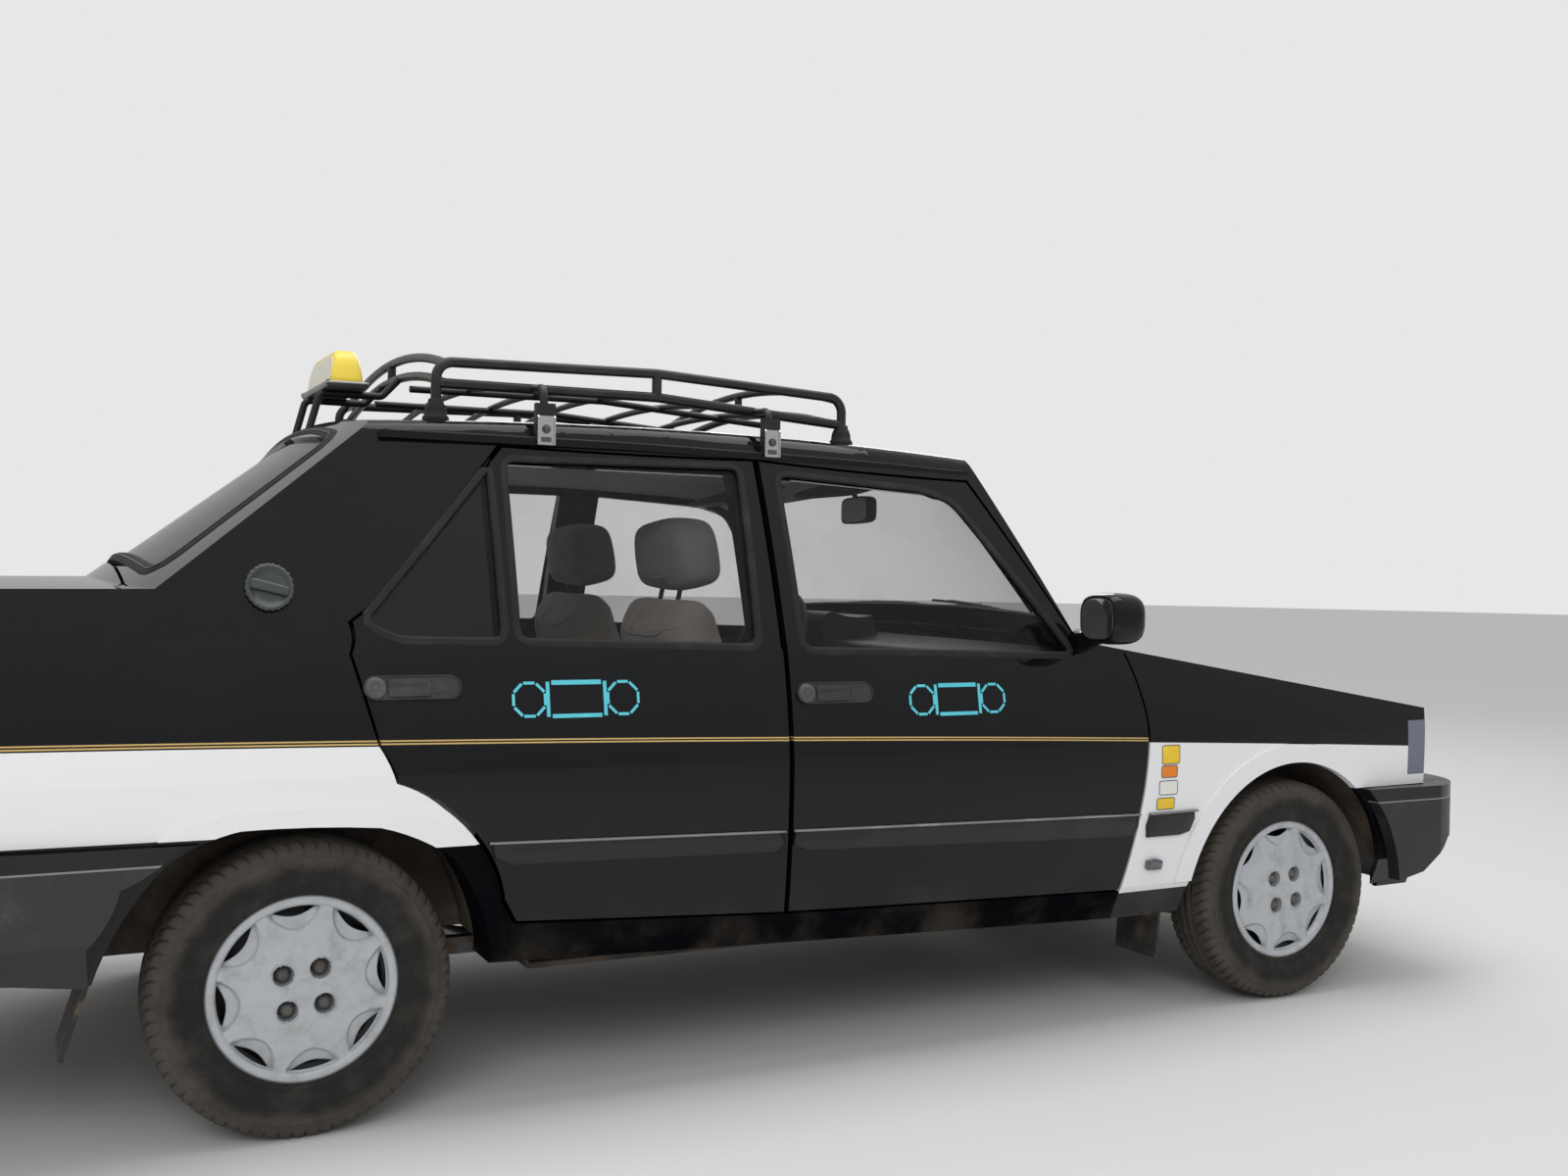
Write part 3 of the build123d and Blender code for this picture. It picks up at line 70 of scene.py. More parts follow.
class Finish:

    def __init__(self, name, sockets):
        self.material = bpy.data.materials.new(name)
        self.material.use_nodes = True
        self.tree = self.material.node_tree
        self.shader = self.tree.nodes["Principled BSDF"]
        for key, value in sockets.items():
            self.feed(self.shader.inputs[key], value)

    def feed(self, socket, value):
        if isinstance(value, Field):
            self.tree.links.new(value.socket, socket)
        elif socket.type == "RGBA":
            socket.default_value = (*value[:3], 1.0)
        else:
            socket.default_value = value

    def to(self, **sockets):
        for key, value in sockets.items():
            self.feed(self.shader.inputs[key.replace("_", " ")], value)
        return self

    def node(self, kind, settings=(), values=(), output=0):
        # any node: its settings first, then the values or links of its sockets
        made = self.tree.nodes.new("ShaderNode" + kind)
        for key, value in dict(settings).items():
            setattr(made, key, value)
        for key, value in dict(values).items():
            self.feed(made.inputs[key], value)
        return Field(self, made.outputs[output])

    def math(self, operation, a, b=0.0, c=0.0):
        return self.node("Math", {"operation": operation}, {0: a, 1: b, 2: c})

    def mix(self, share, a, b):
        return self.node("Mix", {"data_type": "RGBA"}, {0: share, 6: a, 7: b}, 2)

    def place(self):
        return self.node("TexCoord", output="Object")

    def axes(self):
        # the piece's own x, y and z in metres
        split = self.node("SeparateXYZ", {}, {0: self.place()})
        return [Field(self, split.socket.node.outputs[k]) for k in range(3)]

    def scaled(self, scale, turn=(0, 0, 0)):
        return self.node("Mapping", {}, {"Vector": self.place(), "Scale": scale, "Rotation": turn})

    def noise(self, scale, detail=3.0, rough=0.5, at=None):
        return self.node("TexNoise", {}, {"Vector": at or self.place(), "Scale": scale, "Detail": detail,
                                          "Roughness": rough})

    def ease(self, value, low, high):
        # 0 below low, 1 above high, smooth between
        return self.node("MapRange", {"interpolation_type": "SMOOTHSTEP"},
                         {"Value": value, "From Min": low, "From Max": high})

    def span(self, value, low, high):
        # 1 between low and high
        return (value > low) * (value < high)

    def bump(self, height, strength, distance, normal=None):
        values = {"Height": height, "Strength": strength, "Distance": distance}
        if normal:
            values["Normal"] = normal
        return self.node("Bump", {}, values)

    def attribute(self, name):
        return self.node("Attribute", {"attribute_name": name}, output="Fac")


# Meshes: every shape is worked out as whole numpy arrays

def newPiece(name, shape, finish, body="body", slot=None, smooth=True):
    # shape: points (n, 3) in metres in the row frame, and faces as a list of index tuples
    points, faces = shape
    mesh = bpy.data.meshes.new(name)
    mesh.from_pydata(points.reshape(-1, 3).tolist(), [], faces)
    work = bmesh.new()
    work.from_mesh(mesh)
    bmesh.ops.remove_doubles(work, verts=work.verts, dist=1e-6)
    bmesh.ops.recalc_face_normals(work, faces=work.faces)
    work.to_mesh(mesh)
    work.free()
    mesh.polygons.foreach_set("use_smooth", [smooth] * len(mesh.polygons))
    piece = bpy.data.objects.new(name, mesh)
    bpy.context.scene.collection.objects.link(piece)
    mesh.materials.append(finishes[finish])
    slot = slot or finishSlots[finish]
    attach(piece, body)
    return piece


def quads(rows, columns, closeRows=False, closeColumns=False):
    # index quads of a (rows, columns) grid, closed round either way
    i = np.arange(rows if closeRows else rows - 1)[:, None]
    j = np.arange(columns if closeColumns else columns - 1)[None, :]
    a, b = i * columns + j, i * columns + (j + 1) % columns
    c, d = ((i + 1) % rows) * columns + (j + 1) % columns, ((i + 1) % rows) * columns + j
    return np.stack([a, b, c, d], -1).reshape(-1, 4).tolist()


def ringFaces(rows, columns, closed):
    # faces of a tube of rings: closed into a loop, or capped at both ends
    faces = quads(rows, columns, closed, True)
    if not closed:
        faces.append(tuple(range(columns)))
        faces.append(tuple(range((rows - 1) * columns, rows * columns)))
    return faces


def joined(parts):
    # several (points, faces) as one
    points, faces, base = [], [], 0
    for some, more in parts:
        some = some.reshape(-1, 3)
        points.append(some)
        faces += [tuple(k + base for k in face) for face in more]
        base += len(some)
    return np.vstack(points), faces


def mirrored(points, side):
    # side -1 is the right of the car, as modelled; side 1 is its left
    return points * np.array([1.0, -side, 1.0])


def rounded(corners, radius, steps=5, closed=True):
    # a path whose corners are quadratic curves that start radius before and end radius after each corner
    corners = np.array(corners, float)
    out = []
    count = len(corners)
    for k in range(count):
        if not closed and k in (0, count - 1):
            out.append(corners[k][None])
            continue
        here, before, after = corners[k], corners[k - 1], corners[(k + 1) % count]
        reach = min(radius, 0.45 * np.linalg.norm(before - here), 0.45 * np.linalg.norm(after - here))
        a = here + (before - here) / np.linalg.norm(before - here) * reach
        b = here + (after - here) / np.linalg.norm(after - here) * reach
        t = np.linspace(0, 1, steps)[:, None]
        out.append((1 - t) ** 2 * a + 2 * t * (1 - t) * here + t ** 2 * b)
    return np.vstack(out)


def spaced(path, gap, closed=True):
    # the path's points laid out again at an even gap
    path = np.vstack([path, path[:1]]) if closed else path
    run = np.concatenate([[0], np.cumsum(np.linalg.norm(np.diff(path, axis=0), axis=1))])
    count = max(int(round(run[-1] / gap)), 2)
    at = np.linspace(0, run[-1], count + 1)
    even = np.stack([np.interp(at, run, path[:, k]) for k in range(path.shape[1])], -1)
    return even[:-1] if closed else even


def across2d(path, closed):
    # unit vectors to the left of a plane path
    ahead = np.roll(path, -1, 0) - np.roll(path, 1, 0)
    if not closed:
        ahead[0], ahead[-1] = path[1] - path[0], path[-1] - path[-2]
    ahead /= np.linalg.norm(ahead, axis=1)[:, None]
    return np.stack([-ahead[:, 1], ahead[:, 0]], -1)


def stripOn(surface, path, section, closed=True):
    # a section (a across the path, b off the surface) carried along a path on a surface
    side = across2d(path, closed)
    a, b = np.array(section, float).T
    u = path[:, 0, None] + side[:, 0, None] * a
    v = path[:, 1, None] + side[:, 1, None] * a
    points = surface(u, v, np.broadcast_to(b, u.shape))
    return points.reshape(-1, 3), ringFaces(len(path), len(section), closed)


def tubeAlong(path, radius, sides=12, closed=False):
    # a round bar: circles square to the path
    path = np.array(path, float)
    ahead = np.roll(path, -1, 0) - np.roll(path, 1, 0)
    if not closed:
        ahead[0], ahead[-1] = path[1] - path[0], path[-1] - path[-2]
    ahead /= np.linalg.norm(ahead, axis=1)[:, None]
    up = np.where(np.abs(ahead[:, 2:]) > 0.9, [[1.0, 0, 0]], [[0, 0, 1.0]])
    one = np.cross(ahead, up)
    one /= np.linalg.norm(one, axis=1)[:, None]
    two = np.cross(ahead, one)
    turn = np.linspace(0, 2 * pi, sides, endpoint=False)
    radius = np.broadcast_to(np.asarray(radius, float), (len(path),))[:, None, None]
    ring = np.cos(turn)[None, :, None] * one[:, None] + np.sin(turn)[None, :, None] * two[:, None]
    return (path[:, None] + radius * ring).reshape(-1, 3), ringFaces(len(path), sides, closed)


def lathe(profile, centre, sides=96, turnFrom=0.0):
    # rows of (radius, y) turned about the Y axis through centre; the profile is closed
    radius, off = np.array(profile, float).T
    turn = turnFrom + np.linspace(0, 2 * pi, sides, endpoint=False)[:, None]
    points = np.stack([centre[0] + radius * np.cos(turn), centre[1] + off + 0 * turn,
                       centre[2] + radius * np.sin(turn)], -1)
    return points.reshape(-1, 3), quads(sides, len(profile), True, True)


def pebble(centre, half, power=(0.5, 0.5), rows=16, columns=32):
    # a superellipsoid: sines and cosines raised to a power, squarer as the power falls
    v = np.linspace(-pi / 2, pi / 2, rows + 1)[1:-1, None]
    u = np.linspace(-pi, pi, columns, endpoint=False)[None, :]
    bent = lambda w, e: np.sign(w) * np.abs(w) ** e
    ring = bent(np.cos(v), power[0])
    x = half[0] * ring * bent(np.cos(u), power[1])
    y = half[1] * ring * bent(np.sin(u), power[1])
    z = half[2] * bent(np.sin(v), power[0]) + 0 * u
    points = np.vstack([np.stack([x, y, z], -1).reshape(-1, 3), [[0, 0, -half[2]], [0, 0, half[2]]]])
    count = (rows - 1) * columns
    faces = quads(rows - 1, columns, False, True)
    ring = np.arange(columns)
    last = (rows - 2) * columns
    faces += [(int((k + 1) % columns), int(k), count) for k in ring]
    faces += [(int(last + k), int(last + (k + 1) % columns), count + 1) for k in ring]
    return points + np.array(centre), faces


def slabOn(surface, outline, low, high, crown=0.0):
    # an outline on a surface, raised from low to high off it, its top crowned a little by a smaller ring
    outline = np.array(outline, float)
    middle = outline.mean(0)
    rings = []
    for share, off in ((1.0, low), (1.0, high - crown), (0.96, high), (0.5, high + crown * 0.2)):
        ring = middle + (outline - middle) * share
        rings.append(surface(ring[:, 0], ring[:, 1], np.full(len(ring), off)))
    return np.stack(rings).reshape(-1, 3), ringFaces(len(rings), len(outline), False)


def softened(piece, angle=35):
    piece.data.set_sharp_from_angle(angle=radians(angle))
    return piece


def bothSides(name, shape, finish, body="body", slot=None, smooth=True):
    # the shape is the right side's; the left is its mirror image
    points, faces = shape
    return [newPiece(name + label, (mirrored(points, side), faces), finish, body.format(label.lower()), slot, smooth)
            for label, side in (("Right", -1), ("Left", 1))]


def oblong(x0, x1, z0, z1):
    return [(x0, z0), (x1, z0), (x1, z1), (x0, z1)]


def ridge(foot, low, top, high):
    # the section of a low ridge, wider at its foot
    return [(-foot, low), (-top, high), (top, high), (foot, low)]


def spot(surface, u, v, off):
    return surface(*(np.array([value]) for value in (u, v, off)))[0]


def discOn(surface, centre, rows, sides, flute=0):
    # rings about a place on a surface: rows of (radius, off it, whether the ring is fluted)
    turn = np.linspace(0, 2 * pi, sides, endpoint=False)
    wave = 0.0007 * np.sign(np.sin(turn * flute))
    rings = []
    for radius, off, wavy in rows:
        reach = radius + wave * wavy
        rings.append(surface(centre[0] + reach * np.cos(turn), centre[1] + reach * np.sin(turn), np.full(sides, off)))
    return np.stack(rings).reshape(-1, 3), ringFaces(len(rings), sides, False)


# The body's side as a formula, so that trim lies on the sheet metal

skin = {"half": 0.825, "sillTuck": 0.057, "sillStep": 0.019, "sillLow": 0.262, "sillHigh": 0.345, "crease": 0.700,
        "belt": 0.932, "beltTuck": 0.042, "rail": 1.355, "railTuck": 0.220, "top": 1.560, "planRadius": 45.0,
        "planMid": -0.150, "bows": (0.007, 0.005, 0.015)}
frontAxle, rearAxle, wheelZ = 1.417, -1.073, 0.287


def halfWidth(z):
    # straight sill, then three shallow arcs, each a chord plus 4 s t (1 - t)
    b = skin
    beltHalf = b["half"] - b["beltTuck"]
    topHalf = beltHalf + (b["beltTuck"] - b["railTuck"]) * (b["top"] - b["belt"]) / (b["rail"] - b["belt"])
    z = np.asarray(z, float)
    width = np.interp(z, [b["sillLow"], b["sillHigh"], b["crease"], b["belt"], b["top"]],
                      [b["half"] - b["sillTuck"], b["half"] - b["sillStep"], b["half"], beltHalf, topHalf])
    levels = [b[key] for key in ("sillHigh", "crease", "belt", "top")]
    for low, high, bow in zip(levels, levels[1:], b["bows"]):
        t = np.clip((z - low) / (high - low), 0, 1)
        width = width + 4 * bow * t * (1 - t)
    return width


def onSide(x, z, off):
    # a point off the right side's skin: the section swung about a far upright axis
    reach = skin["planRadius"] - skin["half"] + halfWidth(z) + off
    y = skin["half"] - skin["planRadius"] + np.sqrt(reach ** 2 - (x - skin["planMid"]) ** 2)
    return np.stack([x + 0 * y, -y, z + 0 * y], -1)


def slopeSurface(foot, head, bow, bowHalf):
    # a bowed pane: (across, up the slope, off it), as a cylinder about its own slope
    foot, head = np.array(foot), np.array(head)
    up = (head - foot) / np.linalg.norm(head - foot)
    out = np.array([-up[1], up[0]]) * np.sign(up[0])
    radius = (bowHalf ** 2 + bow ** 2) / (2 * bow)

    def surface(u, v, off):
        lift = np.sqrt(radius ** 2 - u ** 2) - radius + bow + off
        return np.stack([foot[0] + up[0] * v + out[0] * lift, u + 0 * lift, foot[1] + up[1] * v + out[1] * lift], -1)

    return surface


onScreen = slopeSurface((frontAxle - 0.679, 0.938), (frontAxle - 0.926, 1.339), 0.085, 0.700)
onBackGlass = slopeSurface((rearAxle - 0.300, 1.050), (rearAxle + 0.145, 1.392), 0.045, 0.620)

# Outlines of the panes in side view and on their slopes
beltBreak = frontAxle - 1.501
paneRows = {
    "front": [(beltBreak + 0.044, 0.929), (frontAxle - 0.719, 0.911), (frontAxle - 0.991, 1.276),
              (frontAxle - 1.080, 1.301), (beltBreak + 0.045, 1.324)],
    "rear": [(rearAxle + 0.396, 0.951), (beltBreak - 0.060, 0.936), (beltBreak - 0.042, 1.334),
             (rearAxle + 0.401, 1.326)],
    "quarter": [(rearAxle + 0.106, 0.982), (rearAxle + 0.160, 0.955), (rearAxle + 0.372, 0.951),
                (rearAxle + 0.372, 1.312), (rearAxle + 0.100, 0.998)],
    "screen": [(-0.706, 0.060), (-0.36, 0.036), (0.0, 0.026), (0.36, 0.036), (0.706, 0.060), (0.552, 0.424),
               (0.28, 0.449), (0.0, 0.452), (-0.28, 0.449), (-0.552, 0.424)],
    "back": [(-0.602, 0.045), (0.602, 0.045), (0.508, 0.492), (0.26, 0.508), (0.0, 0.510), (-0.26, 0.508),
             (-0.508, 0.492)],
}


# Colours are linear; the wheel trims are silver, the body black over white

palette = {"black": (0.0035, 0.004, 0.005), "white": (0.80, 0.81, 0.82), "gold": (0.62, 0.43, 0.16),
           "dust": (0.30, 0.25, 0.19), "trim": (0.018, 0.018, 0.019), "rubber": (0.012, 0.012, 0.012),
           "road": (0.16, 0.13, 0.10), "silver": (0.50, 0.525, 0.55), "cloth": (0.30, 0.265, 0.235),
           "head": (0.84, 0.80, 0.74), "cyan": (0.10, 0.55, 0.66), "amber": (0.85, 0.28, 0.02),
           "red": (0.45, 0.01, 0.01), "yellow": (0.86, 0.66, 0.06), "cream": (0.84, 0.80, 0.62)}


def bodyPaint(name, white=None, gold=False, dull=(), ends=()):
    # clear-coated paint: colour split at the stripe, dust low down, faint orange peel
    f = Finish(name, {"Coat Roughness": 0.035, "Coat IOR": 1.37, "Specular IOR Level": 0.0, "Coat Weight": 1.0})
    x, y, z = f.axes()
    # the stripe's lower edge is a shallow parabola along the car
    under = 0.7317 - 0.03143 * x - 0.00629 * (x * x) - z
    colour = palette["black"]
    trim = 0.0
    if white:
        low, high = white
        zone = (under > 0.0) * f.span(x, low, high) * (f.math("ABSOLUTE", y) > 0.60)
        if dull:
            trim = f.span(x, dull[0], dull[1]) * (z < dull[2])
            zone = zone * (1.0 - trim)
        for start, end, top in ends:
            zone = zone * (1.0 - f.span(x, start, end) * (z < top))
        colour = f.mix(zone, colour, palette["white"])
    if gold:
        line = f.span(under, -0.0115, -0.0088) + f.span(under, -0.0058, -0.0030)
        colour = f.mix(line * (f.math("ABSOLUTE", y) > 0.70), colour, palette["gold"])
    haze = f.noise(5.0, 5.0, 0.62)
    low = f.ease(0.46 - z, 0.0, 0.24)
    film = (low * 0.42 + 0.012) * f.ease(haze, 0.40, 0.80) * 0.5
    colour = f.mix(film, colour, palette["dust"])
    scratch = f.noise(240.0, 2.0, 0.5, f.scaled((1.0, 1.0, 0.12)))
    rough = 0.17 + haze * 0.08 + film * 0.75 + f.ease(scratch, 0.66, 0.8) * 0.10
    if dull:
        rough = rough + trim * 0.28
        f.to(Coat_Weight=1.0 - film * 1.2 - trim)
    else:
        f.to(Coat_Weight=1.0 - film * 1.2)
    peel = f.noise(420.0, 1.0, 0.4)
    f.to(Base_Color=colour, Roughness=rough, Normal=f.bump(peel, 0.05, 0.0006))
    return f.material


def plasticTrim(name, colour, rough=0.42, dusty=0.25, grain=900.0, depth=0.10, bands=None):
    # moulded plastic: fine leather grain, worn paler in patches, dust on top
    f = Finish(name, {"IOR": 1.48})
    x, y, z = f.axes()
    cells = f.node("TexVoronoi", {"feature": "F1"}, {"Vector": f.place(), "Scale": grain}, "Distance")
    patch = f.noise(9.0, 5.0, 0.65)
    worn = f.ease(patch, 0.48, 0.78)
    speck = f.noise(160.0, 3.0, 0.6)
    tone = f.mix(worn * 0.5, colour, [min(c * 2.4 + 0.012, 1.0) for c in colour])
    tone = f.mix(f.ease(speck, 0.55, 0.8) * dusty * worn, tone, palette["dust"])
    sheen = 0.0
    if bands:
        shiny, step = z > bands[0], z < bands[1]
        tone = f.mix(step, f.mix(shiny, tone, palette["black"]), palette["trim"])
        tone = f.mix(f.span(z, bands[0] - 0.0035, bands[0]), tone, (0.22, 0.225, 0.23))
        sheen = shiny * 0.14
    f.to(Base_Color=tone, Roughness=rough + worn * 0.16 + cells * 0.1 - sheen,
         Normal=f.bump(cells, depth, 0.0008, f.bump(patch, 0.06, 0.004)))
    return f.material


def rubber(name, colour=palette["rubber"], dusty=0.3):
    f = Finish(name, {"Specular IOR Level": 0.35})
    grain = f.noise(520.0, 3.0, 0.6)
    patch = f.noise(14.0, 4.0, 0.6)
    tone = f.mix(f.ease(patch, 0.45, 0.75) * dusty, colour, palette["road"])
    f.to(Base_Color=tone, Roughness=0.58 + patch * 0.3, Normal=f.bump(grain, 0.18, 0.0008))
    return f.material


def underbody(name, colour=(0.045, 0.042, 0.038), dusty=0.75):
    # sprayed undercoat, thick with road dust where it faces up or lies low
    f = Finish(name, {"Specular IOR Level": 0.2})
    lumps = f.noise(60.0, 6.0, 0.7)
    patch = f.noise(6.0, 5.0, 0.65)
    tone = f.mix(f.ease(patch, 0.35, 0.7) * dusty, colour, palette["road"])
    f.to(Base_Color=tone, Roughness=0.78 + lumps * 0.2, Normal=f.bump(lumps, 0.5, 0.003))
    return f.material


def castIron(name):
    f = Finish(name, {"Metallic": 0.75})
    lumps = f.noise(140.0, 5.0, 0.7)
    rust = f.ease(f.noise(18.0, 6.0, 0.68), 0.45, 0.68)
    f.to(Base_Color=f.mix(rust, (0.09, 0.088, 0.085), (0.13, 0.06, 0.03)), Roughness=0.5 + rust * 0.4,
         Metallic=0.8 - rust * 0.7, Normal=f.bump(lumps, 0.4, 0.0015))
    return f.material


def steel(name, colour=(0.32, 0.32, 0.33), rough=0.32):
    f = Finish(name, {"Metallic": 1.0})
    brushed = f.noise(60.0, 4.0, 0.6, f.scaled((1.0, 14.0, 14.0)))
    stain = f.ease(f.noise(11.0, 5.0, 0.6), 0.5, 0.8)
    f.to(Base_Color=f.mix(stain * 0.6, colour, (0.11, 0.085, 0.07)), Roughness=rough + brushed * 0.16 + stain * 0.25,
         Normal=f.bump(brushed, 0.1, 0.0006))
    return f.material


def silverPaint(name):
    # wheel trims: lacquered silver with brake dust in the hollows
    f = Finish(name, {"Metallic": 0.55, "Coat Weight": 0.35, "Coat Roughness": 0.2})
    flake = f.noise(1500.0, 1.0, 0.5)
    grime = f.ease(f.noise(26.0, 5.0, 0.65), 0.42, 0.8)
    f.to(Base_Color=f.mix(grime * 0.4, palette["silver"], (0.20, 0.17, 0.14)),
         Roughness=0.30 + flake * 0.12 + grime * 0.22,
         Normal=f.bump(flake, 0.05, 0.0004))
    return f.material


def glassPane(name, tint=(0.010, 0.013, 0.013), least=0.10, rough=0.015):
    # see-through by alpha, more mirror-like at a glance
    f = Finish(name, {"Base Color": tint, "IOR": 1.55, "Specular IOR Level": 0.8})
    facing = f.node("LayerWeight", {}, {"Blend": 0.5}, 1)
    edge = f.math("POWER", facing, 4.0) * 0.75 + 0.02
    film = f.ease(f.noise(4.0, 5.0, 0.6), 0.4, 0.8)
    smear = f.noise(35.0, 3.0, 0.6, f.scaled((1.0, 1.0, 0.25)))
    f.to(Alpha=least + edge + film * 0.05, Roughness=rough + film * 0.03 + f.ease(smear, 0.6, 0.85) * 0.03)
    f.material.surface_render_method = "BLENDED"
    return f.material


def lens(name, colour, ribs=(0.0, 260.0, 0.0), alpha=0.92):
    # moulded lamp glass: ribs in the bump, deep colour
    f = Finish(name, {"Base Color": colour, "Roughness": 0.08, "Coat Weight": 1.0, "Coat Roughness": 0.02,
                      "Alpha": alpha,
                      "Specular IOR Level": 0.7})
    x, y, z = f.axes()
    waves = [f.math("SINE", axis * (rib * 6.283)) for axis, rib in zip((x, y, z), ribs)]
    wave = waves[0] + waves[1] + waves[2]
    dust = f.ease(f.noise(12.0, 5.0, 0.6), 0.5, 0.85)
    f.to(Base_Color=f.mix(dust * 0.25, colour, palette["dust"]), Roughness=0.07 + dust * 0.3,
         Normal=f.bump(wave, 0.5, 0.0012))
    return f.material


def wovenCloth(name, colour, scale=420.0, contrast=0.35):
    # a plain weave: two crossing waves, slubs and faded patches
    f = Finish(name, {"Sheen Weight": 0.35, "Sheen Roughness": 0.5, "Specular IOR Level": 0.15})
    x, y, z = f.axes()
    warp = f.math("SINE", (x + z) * (scale * 6.283))
    weft = f.math("SINE", (y + z * 0.35) * (scale * 6.283))
    weave = warp * weft * 0.5 + 0.5
    slub = f.noise(130.0, 4.0, 0.65, f.scaled((1.0, 0.3, 1.0)))
    fade = f.ease(f.noise(4.0, 4.0, 0.6), 0.35, 0.75)
    tone = f.mix(weave * contrast, colour, [c * 0.45 for c in colour])
    tone = f.mix(f.ease(slub, 0.5, 0.75) * 0.3, tone, [min(c * 1.9, 1) for c in colour])
    tone = f.mix(fade * 0.25, tone, [min(c * 1.5 + 0.01, 1) for c in colour])
    f.to(Base_Color=tone, Roughness=0.85 + slub * 0.1, Normal=f.bump(weave + slub * 0.6, 0.35, 0.0012))
    return f.material


def tyreRubber(name):
    # black rubber greyed by dust on the shoulders and darkened in the grooves by painted shade; the piece's own
    # attributes say where its tread and wall are
    f = Finish(name, {"Specular IOR Level": 0.3})
    wall = f.attribute("wall")
    groove = f.attribute("groove")
    patch = f.noise(16.0, 6.0, 0.68)
    fine = f.noise(260.0, 4.0, 0.6)
    dust = f.ease(patch * 0.7 + fine * 0.3 + wall * 0.35, 0.42, 0.95)
    tone = f.mix(dust * 0.78, (0.016, 0.0155, 0.0145), (0.096, 0.085, 0.071))
    # painted shade: the grooves go a darker dusty brown than the tread around them
    tone = f.mix(groove * 0.7, tone, (0.035, 0.030, 0.025))
    f.to(Base_Color=tone, Roughness=0.72 + fine * 0.25, Normal=f.bump(fine, 0.25, 0.0012))
    return f.material


def litPlastic(name, colour):
    # translucent acrylic of the roof sign: soft, slightly cloudy
    f = Finish(name, {"Coat Weight": 0.5, "Coat Roughness": 0.08, "Subsurface Weight": 0.12,
                      "Subsurface Radius": (0.02, 0.015, 0.006)})
    cloud = f.noise(20.0, 5.0, 0.6)
    dirt = f.ease(f.noise(55.0, 5.0, 0.7), 0.55, 0.8)
    tone = f.mix(f.ease(cloud, 0.4, 0.8) * 0.25, colour, [c * 0.72 for c in colour])
    f.to(Base_Color=f.mix(dirt * 0.25, tone, palette["dust"]), Roughness=0.25 + cloud * 0.2 + dirt * 0.2,
         Normal=f.bump(cloud, 0.05, 0.002))
    return f.material


def reflector(name):
    # the headlamp's bowl, drawn by the bump as two dishes and by painted shade that darkens toward each dish's middle,
    # with plain pale glass at the corners
    f = Finish(name, {"Roughness": 0.12})
    x, y, z = f.axes()
    across = f.math("ABSOLUTE", y)
    dy, dz = across - 0.5525, z - 0.648
    away = dy * dy + dz * dz
    corner = across > 0.7125
    flute = f.math("SINE", z * (6.283 * 95.0)) * 0.0004
    # painted shade: each dish goes from pale grey at its rim to dark grey in its middle
    tone = f.mix(f.ease(away, 0.0, 0.006), (0.30, 0.31, 0.33), (0.70, 0.71, 0.72))
    tone = f.mix(corner, tone, (0.15, 0.16, 0.22))
    f.to(Base_Color=tone, Metallic=(1.0 - corner) * 0.95, Roughness=0.10 + corner * 0.12,
         Normal=f.bump(away * 3.2 * (1.0 - corner) + flute * corner, 1.0, 1.0))
    return f.material


def tailGlass(name):
    # three chambers in one moulding: pale inside, red in the middle, amber at the corner
    f = Finish(name, {"Coat Weight": 1.0, "Coat Roughness": 0.03, "Specular IOR Level": 0.6})
    x, y, z = f.axes()
    across = f.math("ABSOLUTE", y)
    tone = f.mix(across > 0.560, (0.62, 0.58, 0.56), palette["red"])
    tone = f.mix(across > 0.662, tone, palette["amber"])
    dust = f.ease(f.noise(12.0, 5.0, 0.6), 0.5, 0.85)
    cells = f.math("SINE", y * (6.283 * 110.0)) * f.math("SINE", z * (6.283 * 110.0))
    tone = f.mix(cells * 0.25 + 0.25, tone, [c * 0.3 for c in palette["red"]])
    f.to(Base_Color=f.mix(dust * 0.22, tone, palette["dust"]), Roughness=0.10 + dust * 0.3,
         Normal=f.bump(cells, 0.4, 0.001))
    return f.material


def plainFinish(name, colour, metallic, rough):
    return Finish(name, {"Base Color": colour, "Metallic": metallic, "Roughness": rough}).material


